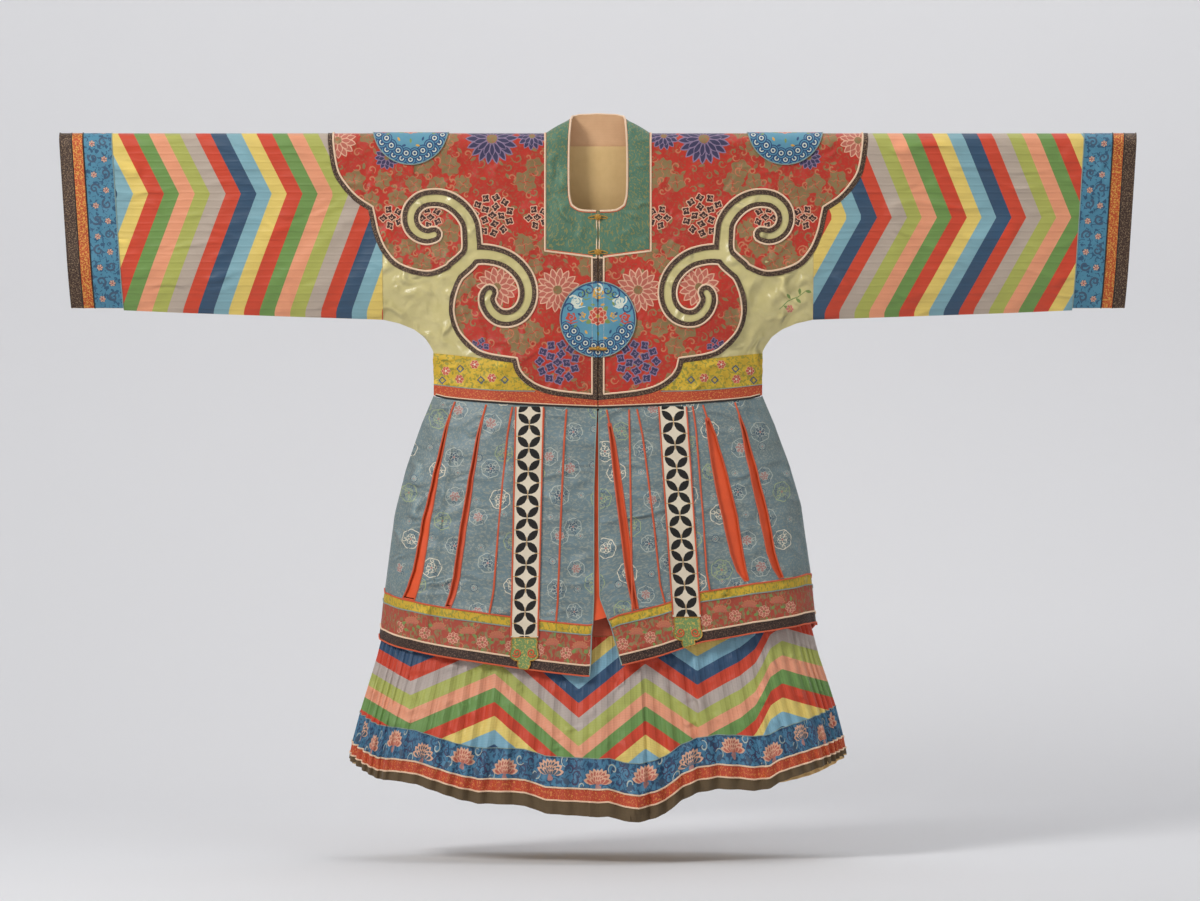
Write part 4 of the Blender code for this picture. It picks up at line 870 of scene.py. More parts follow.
@dataclass(frozen=True)
class ClothFinish:
    """A woven, stitched or braided cloth finish.

    Args:
        name: the real material.
        colour: its main colour.
        shade: the colour that it falls to in its worn and soiled parts.
        weave: how its threads run.
        thread_mm: thread spacing as drawn, coarser than the real one, so that it shows.
        roughness: roughness of the fibre.
        sheen: soft edge light of the nap.
        relief_mm: height of the threads.
        fleck: colour of the small woven figures.
        fleck_mm: size of those figures.
        fleck_share: share of the ground that they cover.
        metallic: share of metal thread.
        crease_mm: spacing of pressed lines across the cloth, or 0 for none.
        crease_way: whether they run with or across the cloth.
        crumple_mm: height of the soft crumpling, or 0 for none; it also paints highlights on the ridges and
            shade in the hollows into the colour.
        stretch: how much wider than high the crumples and small figures are.
        aged: how far old age has yellowed it, from 0 to 1.
        stripes: colours of the stripes, read along the stripe coordinate.
    """
    name: str
    colour: str
    shade: str
    weave: Weave = Weave.PLAIN
    thread_mm: float = 2.2
    roughness: float = 0.55
    sheen: float = 0.25
    relief_mm: float = 0.25
    fleck: str = ""
    fleck_mm: float = 4.0
    fleck_share: float = 0.4
    metallic: float = 0.0
    crease_mm: float = 0.0
    crease_way: str = "Y"
    crumple_mm: float = 0.0
    stretch: float = 1.0
    aged: float = 1.0
    stripes: Tuple[str, ...] = ()

    def material(self) -> bpy.types.Material:
        """The finish as a material, made once."""
        found = bpy.data.materials.get(self.name + "_finish")
        if found:
            return found
        made = bpy.data.materials.new(self.name + "_finish")
        made.use_nodes = True
        tree = made.node_tree
        shader = tree.nodes["Principled BSDF"]
        shader.inputs["Metallic"].default_value = self.metallic
        shader.inputs["Sheen Weight"].default_value = self.sheen
        shader.inputs["Sheen Roughness"].default_value = 0.4
        cut = add_node(tree, "ShaderNodeUVMap", uv_map="cut").outputs["UV"]
        thread = self.threads(tree, cut)
        wear = add_node(tree, "ShaderNodeTexNoise", {"Scale": 16.0, "Detail": 5.0, "Roughness": 0.65},
                        {"Vector": add_node(tree, "ShaderNodeTexCoord").outputs["Object"]}).outputs["Fac"]
        worn = add_node(tree, "ShaderNodeMapRange", {"From Min": 0.36, "From Max": 0.72}, {"Value": wear})
        ground = self.ground(tree, worn.outputs["Result"])
        if self.fleck:
            ground = self.figured(tree, cut, ground)
        lined = add_node(tree, "ShaderNodeMix", {0: 0.0, 7: linear(self.shade)},
                         {0: self.scaled(tree, thread, 0.28), 6: ground}, data_type="RGBA").outputs[2]
        lined = self.toned(tree, lined, {0: self.aged, 7: (1.0, 0.94, 0.79, 1.0)})
        rough = add_node(tree, "ShaderNodeMapRange",
                         {"To Min": self.roughness - 0.06, "To Max": self.roughness + 0.1},
                         {"Value": wear})
        tree.links.new(rough.outputs["Result"], shader.inputs["Roughness"])
        height = thread
        if self.crease_mm:
            height = add_node(tree, "ShaderNodeMath", None, {0: self.pressed(tree, cut), 1: self.scaled(
                tree, thread, 0.25)}, operation="ADD").outputs[0]
        bump = add_node(tree, "ShaderNodeBump", {"Strength": 0.6, "Distance": self.relief_mm * MM},
                        {"Height": height})
        if self.crumple_mm:
            room = self.stretched(tree, add_node(tree, "ShaderNodeTexCoord").outputs["Object"])
            folds = add_node(tree, "ShaderNodeTexNoise", {"Scale": 24.0, "Detail": 4.0, "Roughness": 0.5,
                                                          "Distortion": 0.8}, {"Vector": room},
                             noise_type="RIDGED_MULTIFRACTAL", normalize=True).outputs["Fac"]
            crumple = add_node(tree, "ShaderNodeBump", {"Strength": 1.0, "Distance": self.crumple_mm * MM},
                               {"Height": folds})
            tree.links.new(crumple.outputs["Normal"], bump.inputs["Normal"])
            # Painted light: the crumples also lighten the colour on their ridges and darken it in their
            # hollows, as painted highlights and painted shade.
            crease_shade_and_highlight = add_node(tree, "ShaderNodeMapRange", {"From Min": 0.2, "From Max": 0.8,
                                                         "To Min": 1 - 0.011 * self.crumple_mm,
                                                         "To Max": 1 + 0.02 * self.crumple_mm},
                            {"Value": folds}).outputs["Result"]
            lined = self.toned(tree, lined, {0: 1.0}, {7: crease_shade_and_highlight})
        tree.links.new(lined, shader.inputs["Base Color"])
        tree.links.new(bump.outputs["Normal"], shader.inputs["Normal"])
        return made

    @staticmethod
    def toned(tree: bpy.types.NodeTree, colour: bpy.types.NodeSocket, values: dict,
              links: Optional[dict] = None) -> bpy.types.NodeSocket:
        """A colour multiplied by another."""
        return add_node(tree, "ShaderNodeMix", values, {6: colour, **(links or {})}, data_type="RGBA",
                        blend_type="MULTIPLY").outputs[2]

    def stretched(self, tree: bpy.types.NodeTree, place: bpy.types.NodeSocket) -> bpy.types.NodeSocket:
        """Coordinates drawn out sideways."""
        return add_node(tree, "ShaderNodeMapping", {"Scale": (1 / self.stretch, 1.0, 1.0)},
                        {"Vector": place}).outputs["Vector"]

    @staticmethod
    def scaled(tree: bpy.types.NodeTree, source: bpy.types.NodeSocket, by: float) -> bpy.types.NodeSocket:
        """A value times a constant."""
        return add_node(tree, "ShaderNodeMath", {1: by}, {0: source}, operation="MULTIPLY").outputs[0]

    def ground(self, tree: bpy.types.NodeTree, worn: bpy.types.NodeSocket) -> bpy.types.NodeSocket:
        """The cloth's colour, plain or striped, falling to its shade where it is worn."""
        if not self.stripes:
            return add_node(tree, "ShaderNodeMix", {6: linear(self.colour), 7: linear(self.shade)},
                            {0: self.scaled(tree, worn, 0.45)}, data_type="RGBA").outputs[2]
        stripe = add_node(tree, "ShaderNodeUVMap", uv_map="stripes").outputs["UV"]
        along = add_node(tree, "ShaderNodeSeparateXYZ", None, {0: stripe}).outputs["X"]
        share = add_node(tree, "ShaderNodeMath", None, {0: self.scaled(tree, along, 1 / len(self.stripes))},
                         operation="FRACT").outputs[0]
        ramp = add_node(tree, "ShaderNodeValToRGB", None, {0: share})
        ramp.color_ramp.interpolation = "CONSTANT"
        for k, code in enumerate(self.stripes):
            at = k / len(self.stripes)
            stop = ramp.color_ramp.elements[k] if k < 2 else ramp.color_ramp.elements.new(at)
            stop.position, stop.color = at, linear(code)
        return add_node(tree, "ShaderNodeMix", {7: linear(self.shade)},
                        {0: self.scaled(tree, worn, 0.10), 6: ramp.outputs["Color"]},
                        data_type="RGBA").outputs[2]

    def figured(self, tree: bpy.types.NodeTree, cut: bpy.types.NodeSocket,
                ground: bpy.types.NodeSocket) -> bpy.types.NodeSocket:
        """Small woven figures over the ground."""
        noise = add_node(tree, "ShaderNodeTexNoise", {"Scale": 1 / (self.fleck_mm * MM), "Detail": 2.0,
                                                      "Distortion": 0.6},
                         {"Vector": self.stretched(tree, cut)},
                         noise_dimensions="2D")
        edge = 0.68 - 0.36 * self.fleck_share
        mask = add_node(tree, "ShaderNodeMapRange", {"From Min": edge - 0.02, "From Max": edge + 0.02},
                        {"Value": noise.outputs["Fac"]})
        return add_node(tree, "ShaderNodeMix", {7: linear(self.fleck)},
                        {0: mask.outputs["Result"], 6: ground},
                        data_type="RGBA").outputs[2]

    def pressed(self, tree: bpy.types.NodeTree, cut: bpy.types.NodeSocket) -> bpy.types.NodeSocket:
        """Pressed lines across the cloth, as sharp soft-edged hollows."""
        wave = add_node(tree, "ShaderNodeTexWave",
                        {"Scale": 1 / (self.crease_mm * MM * 3.18), "Distortion": 1.3,
                         "Detail": 2.0, "Detail Scale": 0.5}, {"Vector": cut},
                        bands_direction=self.crease_way)
        return add_node(tree, "ShaderNodeMath", {1: 5.0}, {0: wave.outputs["Fac"]},
                        operation="POWER").outputs[0]

    def threads(self, tree: bpy.types.NodeTree, cut: bpy.types.NodeSocket) -> bpy.types.NodeSocket:
        """Height of the threads from 0 to 1."""
        apart = add_node(tree, "ShaderNodeSeparateXYZ", None, {0: cut})
        turn = 2 * math.pi / (self.thread_mm * MM)

        def wave(u: float, v: float) -> bpy.types.NodeSocket:
            """A sine across the cloth, with u and v its turns along each way."""
            first = self.scaled(tree, apart.outputs["X"], u * turn)
            both = add_node(tree, "ShaderNodeMath", {1: v * turn}, {0: apart.outputs["Y"], 2: first},
                            operation="MULTIPLY_ADD").outputs[0]
            sine = add_node(tree, "ShaderNodeMath", None, {0: both}, operation="SINE").outputs[0]
            return add_node(tree, "ShaderNodeMath", {1: 0.5, 2: 0.5}, {0: sine},
                            operation="MULTIPLY_ADD").outputs[0]

        turns = {Weave.PLAIN: ((1, 0), (0, 1)), Weave.SATIN: ((0.12, 1), (0.9, 0.1)),
                 Weave.TWILL: ((1, 1), (0.3, -1)),
                 Weave.BRAID: ((1, 1), (1, -1)), Weave.STITCH: ((1, 0.25), (0.2, 0.6)),
                 Weave.CORD: ((1, 0.5), (1, 0.5))}
        a, b = (wave(*pair) for pair in turns[self.weave])
        return add_node(tree, "ShaderNodeMath", None, {0: a, 1: b}, operation="MULTIPLY").outputs[0]


# The stripes from the body outwards, and down the underskirt
LIGHT_BLUE, YELLOW, RED, GREEN = "#86bbd6", "#f3da7a", "#dc4322", "#72a054"
PEACH, LIME, GREY, NAVY = "#f9a988", "#b9c163", "#c4b7b3", "#23507a"
SLEEVE_STRIPES = (NAVY, RED, GREY, LIME, PEACH, GREEN, RED, YELLOW, LIGHT_BLUE)
SKIRT_STRIPES = (LIGHT_BLUE, NAVY, RED, GREY, LIME, PEACH, GREEN, RED, YELLOW)


def weft(name: str, colour: str, shade: str, **more) -> ClothFinish:
    """Coloured silk wefts: slack satin floats that stand a little over the ground."""
    return ClothFinish(name + "_weft", colour, shade, Weave.SATIN, 1.8, **{"roughness": 0.5, "sheen": 0.2,
                                                                           "relief_mm": 0.3, **more})


def dusk_weft(name: str, colour: str, shade: str) -> ClothFinish:
    """The peplum's wefts, which lie in its pressed crumples."""
    return weft(name, colour, shade, roughness=0.45, crumple_mm=15, stretch=3)


def floss(name: str, colour: str, shade: str, **more) -> ClothFinish:
    """Embroidery floss: close long stitches that catch the light together."""
    return ClothFinish(name + "_floss", colour, shade, Weave.STITCH, 1.4, **{"roughness": 0.45, "sheen": 0.2,
                                                                             "relief_mm": 0.35, **more})


def rolled_piping(name: str, colour: str, shade: str) -> ClothFinish:
    """Piping: a cord rolled in bias silk, with the slant of its thread."""
    return ClothFinish(name + "_piping", colour, shade, Weave.CORD, 3.0, 0.5, 0.2, 0.25)


FINISHES: Dict[str, ClothFinish] = {f.name: f for f in (
    # Red silk damask: a warm matt satin that the figures are woven into
    ClothFinish("red_damask", "#cb2f1b", "#8d2417", Weave.TWILL, 2.4, 0.46, 0.25, 0.2, "#ad5236", 5.5, 0.26,
                crumple_mm=7),
    # Olive-gold wefts: flat gilt thread gone dull, a little harder in the light than the silk
    ClothFinish("olive_gilt_weft", "#97835a", "#6f5c3c", Weave.SATIN, 1.8, 0.45, 0.1, 0.3, "#b5674a", 4.5,
                0.2, 0.12,
                crumple_mm=7),
    weft("tan_silk", "#c77d5c", "#a4563e"),
    weft("pink_silk", "#bf6a5d", "#9a4a42", sheen=0.25),
    weft("pale_silk", "#e2b3a0", "#c08d7a", sheen=0.25),
    weft("navy_silk", "#38335f", "#24234a"),
    weft("lilac_silk", "#8d7aa3", "#6f5f88"),
    weft("dark_silk", "#3d1d18", "#2a1411"),
    # Metal-thread braid: dark flat strips with tan glints between the crossings
    ClothFinish("brown_metal_braid", "#43302a", "#241815", Weave.BRAID, 3.2, 0.42, 0.1, 0.5, "#8b7561", 2.4,
                0.3, 0.3),
    ClothFinish("black_brown_braid", "#35231f", "#1b1110", Weave.BRAID, 3.0, 0.45, 0.1, 0.5, "#6f574c", 2.2,
                0.28, 0.25),
    ClothFinish("gold_red_braid", "#c5542c", "#7d2c18", Weave.BRAID, 3.2, 0.42, 0.1, 0.5, "#dca552", 3.2, 0.4,
                0.25),
    # Silk satin: smooth floats with a clear soft gloss, and highlights and shade painted on its crumples
    ClothFinish("chartreuse_satin", "#ecdfa2", "#bdb26c", Weave.SATIN, 1.6, 0.22, 0.15, 0.12, crumple_mm=17,
                aged=0.3),
    floss("leaf_green", "#7f9a58", "#56713c", relief_mm=0.3),
    floss("rose", "#cf7a6d", "#a2544b", relief_mm=0.3),
    ClothFinish("yellow_brocade", "#e8c43a", "#b59628", Weave.TWILL, 2.0, 0.5, 0.2, 0.25, "#a8a13e", 6.0,
                0.36, 0.1,
                crumple_mm=12),
    ClothFinish("red_brocade_strip", "#c24829", "#9a2f1b", Weave.TWILL, 2.0, 0.55, 0.2, 0.25, "#d98a4a", 2.6,
                0.22),
    ClothFinish("striped_silk", NAVY, "#6b5a4c", Weave.PLAIN, 2.0, 0.5, 0.25, 0.9, crease_mm=15,
                crumple_mm=9, stretch=2.5, stripes=SLEEVE_STRIPES),
    ClothFinish("striped_skirt_silk", NAVY, "#5a4a3e", Weave.PLAIN, 2.0, 0.5, 0.25, 0.9, crease_mm=11,
                crease_way="X", crumple_mm=8, aged=0.4, stripes=SKIRT_STRIPES),
    ClothFinish("blue_cuff_brocade", "#4f92b2", "#2f6488", Weave.TWILL, 2.0, 0.5, 0.2, 0.25, "#2a5578", 7.0,
                0.3,
                crumple_mm=7, aged=0.5),
    ClothFinish("green_gilt_brocade", "#5a8878", "#3d6355", Weave.TWILL, 2.0, 0.5, 0.2, 0.25, "#8d8f5e", 4.0,
                0.26, 0.1,
                crumple_mm=9),
    # Plain cottons and linings: dry, even and matt
    ClothFinish("tan_lining", "#e6c48a", "#c6a268", Weave.PLAIN, 2.4, 0.85, 0.1, 0.2, aged=0),
    ClothFinish("pink_facing", "#dcb594", "#b98c6c", Weave.PLAIN, 2.0, 0.75, 0.15, 0.2),
    ClothFinish("taupe_cotton", "#665641", "#4b3f2f", Weave.PLAIN, 2.6, 0.85, 0.15, 0.3),
    rolled_piping("cream", "#f4dcca", "#d5ab90"),
    rolled_piping("orange", "#dd6038", "#b03f22"),
    rolled_piping("blue", "#8fa7ac", "#67838a"),
    rolled_piping("black", "#1f1917", "#120e0d"),
    ClothFinish("gilt_cord", "#c89a45", "#8c6425", Weave.CORD, 2.4, 0.36, 0.05, 0.4, metallic=0.45),
    ClothFinish("peplum_brocade", "#7896ab", "#6f7573", Weave.TWILL, 2.2, 0.4, 0.2, 0.9, "#9aa7ab", 2.6, 0.36,
                crease_mm=26, crumple_mm=17, stretch=3),
    dusk_weft("mist_silk", "#c3cfd2", "#a3b1b6"),
    dusk_weft("sage_silk", "#b3c6a0", "#93a781"),
    dusk_weft("dusk_blue", "#4f6a86", "#42566e"),
    dusk_weft("dusk_rose", "#c08c8f", "#9a6c72"),
    weft("white_silk", "#e8e4dc", "#c9c2b6"),
    weft("slate_silk", "#3f5a7c", "#2c4363"),
    ClothFinish("orange_silk", "#f25f2b", "#c2431d", Weave.SATIN, 1.8, 0.45, 0.2, 0.2),
    ClothFinish("floral_red_brocade", "#bb4a33", "#8c3526", Weave.TWILL, 2.0, 0.55, 0.2, 0.25, "#8f7d4f", 7.0,
                0.34,
                crumple_mm=8, aged=0),
    ClothFinish("salmon_silk", "#d96a50", "#8e2f20", Weave.PLAIN, 2.2, 0.6, 0.2, 0.2),
    ClothFinish("lotus_blue_brocade", "#4a86a6", "#1f3f60", Weave.TWILL, 2.0, 0.5, 0.2, 0.25, "#26496b", 6.0,
                0.42,
                crumple_mm=8, aged=0),
    ClothFinish("ribbon_white_silk", "#e6dfd6", "#c2b4a6", Weave.PLAIN, 1.8, 0.5, 0.2, 0.2),
    ClothFinish("ribbon_black_velvet", "#15110f", "#0b0908", Weave.PLAIN, 1.6, 0.8, 0.5, 0.3),
    ClothFinish("pendant_green_silk", "#789a62", "#4f7040", Weave.STITCH, 1.6, 0.5, 0.2, 0.25, "#c9b25c", 4.0,
                0.3),
    floss("badge_blue", "#5b9cc0", "#3f7ca3", relief_mm=0.3),
    floss("wave_navy", "#1c4c85", "#12355f", roughness=0.42),
    floss("cloud_white", "#dde6e4", "#aebfc2"),
    floss("flower_red", "#cc4733", "#96301f"),
    floss("flower_gold", "#dcae54", "#ad7f33", roughness=0.42, sheen=0.1, metallic=0.2),
)}


# Woven and embroidered figures, drawn flat in millimetres

def disc(radius: float, count: int = 20) -> Line:
    """A round figure."""
    turns = np.arange(count) * 2 * math.pi / count
    return np.stack([np.cos(turns), np.sin(turns)], axis=1) * radius


def lobed(radius: float, lobes: int, depth: float, phase: float = 0.0, count: int = 26) -> Line:
    """A round figure with lobes."""
    turns = np.arange(count) * 2 * math.pi / count
    uneven = 0.4 * depth * np.cos(2 * turns + 2.3 * phase)
    reach = radius * (1 + depth * np.cos(lobes * turns + phase) + uneven)
    return np.stack([np.cos(turns) * reach, np.sin(turns) * reach], axis=1)


def leaf(start: float, length: float, width: float, fullest: float = 0.55) -> Line:
    """A pointed petal along x, from start to start + length."""
    shares = np.array([0.0, 0.2, 0.45, 0.7, 0.88])
    half = width / 2 * np.sin(math.pi * shares ** (math.log(0.5) / math.log(fullest))) ** 0.8
    upper = np.stack([start + length * shares, half], axis=1)
    return np.vstack([upper, [(start + length, 0.0)], (upper * (1, -1))[:0:-1]])


def band_along(line: Line, widths: Sequence[float]) -> Line:
    """A strip with round ends along an open line, its width changing from end to end."""
    line = np.asarray(line, float)
    half = np.interp(np.linspace(0, 1, len(line)), np.linspace(0, 1, len(widths)), widths) / 2
    run = np.gradient(line, axis=0)
    run /= np.maximum(np.linalg.norm(run, axis=1), 1e-9)[:, None]
    side = np.stack([-run[:, 1], run[:, 0]], axis=1)
    caps = []
    for end, direction in ((-1, 1), (0, -1)):
        turns = np.linspace(math.pi / 2, -math.pi / 2, 7)[1:-1]
        caps.append([line[end] + half[end] * direction * (math.cos(a) * run[end] + math.sin(a) * side[end])
                     for a in turns])
    return np.vstack([line + side * half[:, None], caps[0], (line - side * half[:, None])[::-1], caps[1]])


def spiral(radius: float, turns: float, start: float = 0.0, count: int = 18) -> Line:
    """An open spiral that winds in from radius."""
    share = np.linspace(0, 1, count)
    angle = start + turns * 2 * math.pi * share
    reach = radius * (1 - 0.82 * share)
    return np.stack([np.cos(angle) * reach, np.sin(angle) * reach], axis=1)


@dataclass
class Pattern:
    """Figures laid on a cloth, in millimetres, a later one over an earlier one."""
    zones: List[Zone] = field(default_factory=list)

    def add(self, line: Line, finish: str, x: float = 0, t: float = 0, turn: float = 0,
            size: float = 1) -> None:
        """Lay a figure down, sized, turned and moved."""
        cosine, sine = math.cos(turn), math.sin(turn)
        placed = (np.asarray(line) * size) @ np.array([[cosine, sine], [-sine, cosine]]) + (x, t)
        self.zones.append(Zone(placed * MM, finish))

    def moved(self, across: float = 1, down: float = 1, x: float = 0, t: float = 0) -> List[Zone]:
        """The figures mirrored by the signs across and down, then moved by x and t in metres."""
        return [Zone(zone.line * (across, down) + (x, t), zone.finish) for zone in self.zones]

    def flower(self, x: float, t: float, radius: float, petals: int, fill: str, edge: str, heart: str,
               turn: float = 0.0, slim: float = 1.0) -> None:
        """A many-petalled flower with outlined petals in two rings round its heart."""
        for share, count, shift in ((1.0, petals, 0.0), (0.62, max(5, petals - 4), 0.5)):
            for k in range(count):
                angle = turn + 2 * math.pi * (k + shift) / count
                wide = 2 * math.pi * radius * share * 0.66 / count * slim
                self.add(leaf(radius * 0.16, radius * share * 0.84, wide * 1.3), edge, x, t, angle)
                self.add(leaf(radius * 0.2, radius * share * 0.74, wide * 0.86), fill, x, t, angle)
        self.add(disc(radius * 0.2, 12), heart, x, t)

    def lotus(self, x: float, t: float, radius: float, fill: str, edge: str, heart: str) -> None:
        """A half-open lotus seen from the side, its outlined petals fanned upwards in two ranks."""
        for count, reach, spread, drop in ((9, 1.0, 0.36, 0.0), (6, 0.72, 0.4, 0.12), (3, 0.5, 0.42, 0.2)):
            for k in range(count):
                angle = -math.pi / 2 + (k - (count - 1) / 2) * spread
                far = radius * reach * (1 + 0.28 * abs(math.cos(angle)))
                for grow, finish in ((1.0, edge), (0.74, fill)):
                    self.add(leaf(0.1 * far, far * 0.9 * (grow + 0.16 * (1 - grow)),
                                  0.46 * radius * reach * grow),
                             finish, x, t + radius * drop, angle)
        self.add(lobed(radius * 0.24, 3, 0.15, x), heart, x, t + radius * 0.3)

    def cluster(self, x: float, t: float, radius: float, fill: str, edge: str, bud: float = 7.0) -> None:
        """Small three-lobed buds in rings, as in a scattered peony."""
        rings = [(r, max(1, int(2 * math.pi * r / (bud * 2.2)))) for r in np.arange(0, radius, bud * 2.05)]
        for reach, count in rings:
            for k in range(count):
                angle = 2 * math.pi * (k + 0.37 * reach) / count
                bx, bt = x + reach * math.cos(angle), t + reach * math.sin(angle)
                self.add(lobed(bud * 1.04, 4, 0.2, angle * 3, 16), edge, bx, bt)
                self.add(lobed(bud * 0.78, 4, 0.26, angle * 3, 16), fill, bx, bt)
                self.add(band_along(spiral(bud * 0.42, 0.7, angle, 6), (1.2, 1.6, 1.2)), edge, bx, bt)

    def leafy_blob(self, x: float, t: float, radius: float, draw: np.random.RandomState) -> None:
        """An olive leaf clump with tan vine curls round it."""
        phase = draw.uniform(0, 6.28)
        self.add(lobed(radius, int(draw.randint(5, 9)), 0.15, phase, 30), "olive_gilt_weft", x, t)
        for k in range(3):
            angle = phase + k * 2.1 + draw.uniform(-0.3, 0.3)
            curl = spiral(radius * draw.uniform(0.4, 0.55), 0.75, angle + 2.4, 9)
            reach = radius * 1.38
            self.add(band_along(curl, (1.0, 3.2, 2.4)), "tan_silk_weft", x + reach * math.cos(angle),
                     t + reach * math.sin(angle))
        vein = np.array([(-0.1, -0.1), (0.2, 0.12), (0.45, 0.0), (0.72, 0.16)]) * radius
        for k in range(4):
            self.add(band_along(vein, (0.8, 1.8, 0.8)), "tan_silk_weft" if k % 2 else "red_damask", x, t,
                     phase + k * 1.57)


def scattered(low: Tuple[float, float], high: Tuple[float, float], pitch: Tuple[float, float], shake: float,
              draw: np.random.RandomState) -> List[Tuple[float, float]]:
    """Half-drop places over a rectangle, each shaken a little."""
    places = []
    for row, t in enumerate(np.arange(low[1], high[1], pitch[1])):
        for x in np.arange(low[0] + (row % 2) * pitch[0] / 2, high[0], pitch[0]):
            places.append((x + draw.uniform(-shake, shake), t + draw.uniform(-shake, shake)))
    return places


# The cloud yoke and the pieces sewn to it

YOKE_ROWS = mm((525, 0), (524, 35), (515, 87), (497, 118), (474, 143), (446, 162), (442, 180), (435, 209),
               (418, 246),
               (387, 276), (329, 291), (282, 275), (244, 255), (275, 298), (288, 348), (277, 398), (243, 437),
               (213, 451), (165, 459), (160, 476), (146, 494), (118, 512), (77, 523), (0, 531))
YOKE_CORNERS = (0, 5, 12, 18, 23)
YOKE_SPANS = 6
ROW_ARMHOLE = 8
ROW_YELLOW_TOP = 17
ROW_RED_TOP = 21
BRAID, OPEN = "brown_metal_braid", "open"


def yoke_edge(first: int = 0, last: int = 23) -> Line:
    """The yoke's edge between two of its rows."""
    return curve_through(YOKE_ROWS, YOKE_SPANS, YOKE_CORNERS)[first * YOKE_SPANS:last * YOKE_SPANS + 1]


def down_line(x: float, start: float, end: float) -> Line:
    """A line of constant x."""
    return resampled(np.array([(x, start), (x, end)]), 10 * MM)


@dataclass
class CloudYoke:
    """The red yoke with its braid, its two curled slits on each side, and the piping between them.

    Args:
        upper_slit: middle of the slit that curls over the shoulder.
        lower_slit: middle of the slit that curls over the chest.
        slit_widths: width of each slit from its mouth to its round end, in millimetres.
        spacing: size of the cloth's triangles.
        seed: which scatter of leaves and vines.
    """
    upper_slit: Line = field(default_factory=lambda: mm(
        (276, 280), (262, 268), (250, 256), (244, 238), (245, 213), (248, 189), (260, 168), (278, 151),
        (299, 141),
        (322, 139), (343, 144), (359, 159), (364, 178), (359, 196), (347, 208), (332, 213), (318, 210)))
    lower_slit: Line = field(default_factory=lambda: mm(
        (276, 280), (262, 268), (250, 256), (239, 249), (211, 249), (181, 257), (158, 273), (142, 294),
        (135, 319),
        (138, 343), (150, 362), (169, 372), (189, 371), (204, 360), (213, 344), (214, 331), (210, 323)))
    slit_widths: Tuple[float, ...] = (22, 21, 18, 16, 15, 14.5, 14, 13, 12, 11)
    spacing: float = 8 * MM
    seed: int = 11

    def slit_zones(self, side: Side) -> List[Zone]:
        """The braid round the slits, then the slits."""
        zones = []
        for extra, finish in ((2 * BAND, BRAID), (0.0, OPEN)):
            widths = [w * MM + extra for w in self.slit_widths]
            for rows in (self.upper_slit, self.lower_slit):
                line = curve_through(rows, 4)
                zones.append(Zone(band_along(line, widths) * (side.value, 1), finish))
        return zones

    @staticmethod
    def inner_edge() -> Line:
        """The yoke's edge drawn in by the width of its braid."""
        edge = yoke_edge()
        closed = joined(edge, [(0.0, 0.20), (0.20, -0.10), (0.525, -0.10)])
        path = inset(closed, BAND)[:len(edge)]
        path[0][1] = 0.0
        path[-1][0] = 0.0
        return path

    def figures(self, side: Side, face: Face) -> List[Zone]:
        """The brocade's flowers, leaf clumps and vines on one half of the yoke."""
        draw = np.random.RandomState(self.seed + side.value + 5 * face.value)
        pattern = Pattern()
        flowers = [(505, 26, 36, 14, "pink_silk_weft", "pale_silk_weft"),
                   (196, 312, 40, 14, "pink_silk_weft", "pale_silk_weft"),
                   (78, 318, 44, 16, "pink_silk_weft", "pale_silk_weft"),
                   (206, 22, 52, 18, "navy_silk_weft", "lilac_silk_weft"),
                   (128, 16, 30, 14, "navy_silk_weft", "lilac_silk_weft"),
                   (410, 60, 24, 12, "navy_silk_weft", "lilac_silk_weft")]
        clusters = [(78, 458, 48, "navy_silk_weft", "lilac_silk_weft", 8.5),
                    (205, 172, 42, "dark_silk_weft", "pale_silk_weft", 8.5),
                    (325, 176, 22, "dark_silk_weft", "pale_silk_weft", 8),
                    (228, 428, 20, "navy_silk_weft", "lilac_silk_weft", 6),
                    (118, 176, 24, "dark_silk_weft", "pale_silk_weft", 8),
                    (400, 176, 18, "dark_silk_weft", "pale_silk_weft", 8)]
        taken = [(x, t, r) for x, t, r, *_ in flowers + clusters]
        for x, t in scattered((26, 26), (520, 525), (52, 26), 9, draw):
            curl = spiral(draw.uniform(7, 12), 0.9, draw.uniform(0, 6.28), 9)
            pattern.add(band_along(curl, (1.2, 3.4, 2.2)), "olive_gilt_weft" if draw.uniform() < 0.6 else
                        "tan_silk_weft", x, t)
            pattern.add(leaf(-7, 14, 6.5), "olive_gilt_weft", x + 15, t - 7, draw.uniform(0, 6.28))
        for x, t in scattered((12, 12), (520, 525), (54, 32), 7, draw):
            radius = draw.uniform(15, 21)
            if all(math.hypot(x - fx, t - ft) > fr + radius + 2 for fx, ft, fr in taken):
                pattern.leafy_blob(x, t, radius, draw)
        for x, t, radius, petals, fill, edge in flowers:
            pattern.flower(x, t, radius, petals, fill, edge, "olive_gilt_weft", draw.uniform(0, 1))
        for x, t, radius, fill, edge, bud in clusters:
            pattern.cluster(x, t, radius, fill, edge, bud)
        return pattern.moved(side.value, face.value)

    def front(self, side: Side) -> Cut:
        """A front half, cut and divided."""
        edge_x = OPENING + BAND
        edge, drawn = yoke_edge(), self.inner_edge()
        outer = joined(edge[edge[:, 0] > OPENING + 8 * MM], [(OPENING, edge[-1][1])])
        inner = joined(drawn[drawn[:, 0] > edge_x + 8 * MM], [(edge_x, drawn[-1][1])])
        collar = [(COLLAR_X / 2, (COLLAR_CENTRE_T + COLLAR_CORNER_T) / 2), (COLLAR_X, COLLAR_CORNER_T)]
        outline = joined(outer, down_line(OPENING, outer[-1][1], COLLAR_CENTRE_T), collar,
                         down_line(COLLAR_X, COLLAR_CORNER_T, 0.0))
        braid = joined(outer, down_line(OPENING, outer[-1][1], COLLAR_CENTRE_T),
                       down_line(edge_x, COLLAR_CENTRE_T, inner[-1][1]), inner[::-1])
        zones = self.figures(side,
                             Face.FRONT) + [Zone(braid * (side.value, 1), BRAID)] + self.slit_zones(side)
        return cut_cloth(inset(outline * (side.value, 1), HALF_SEAM), "red_damask", zones, self.spacing)

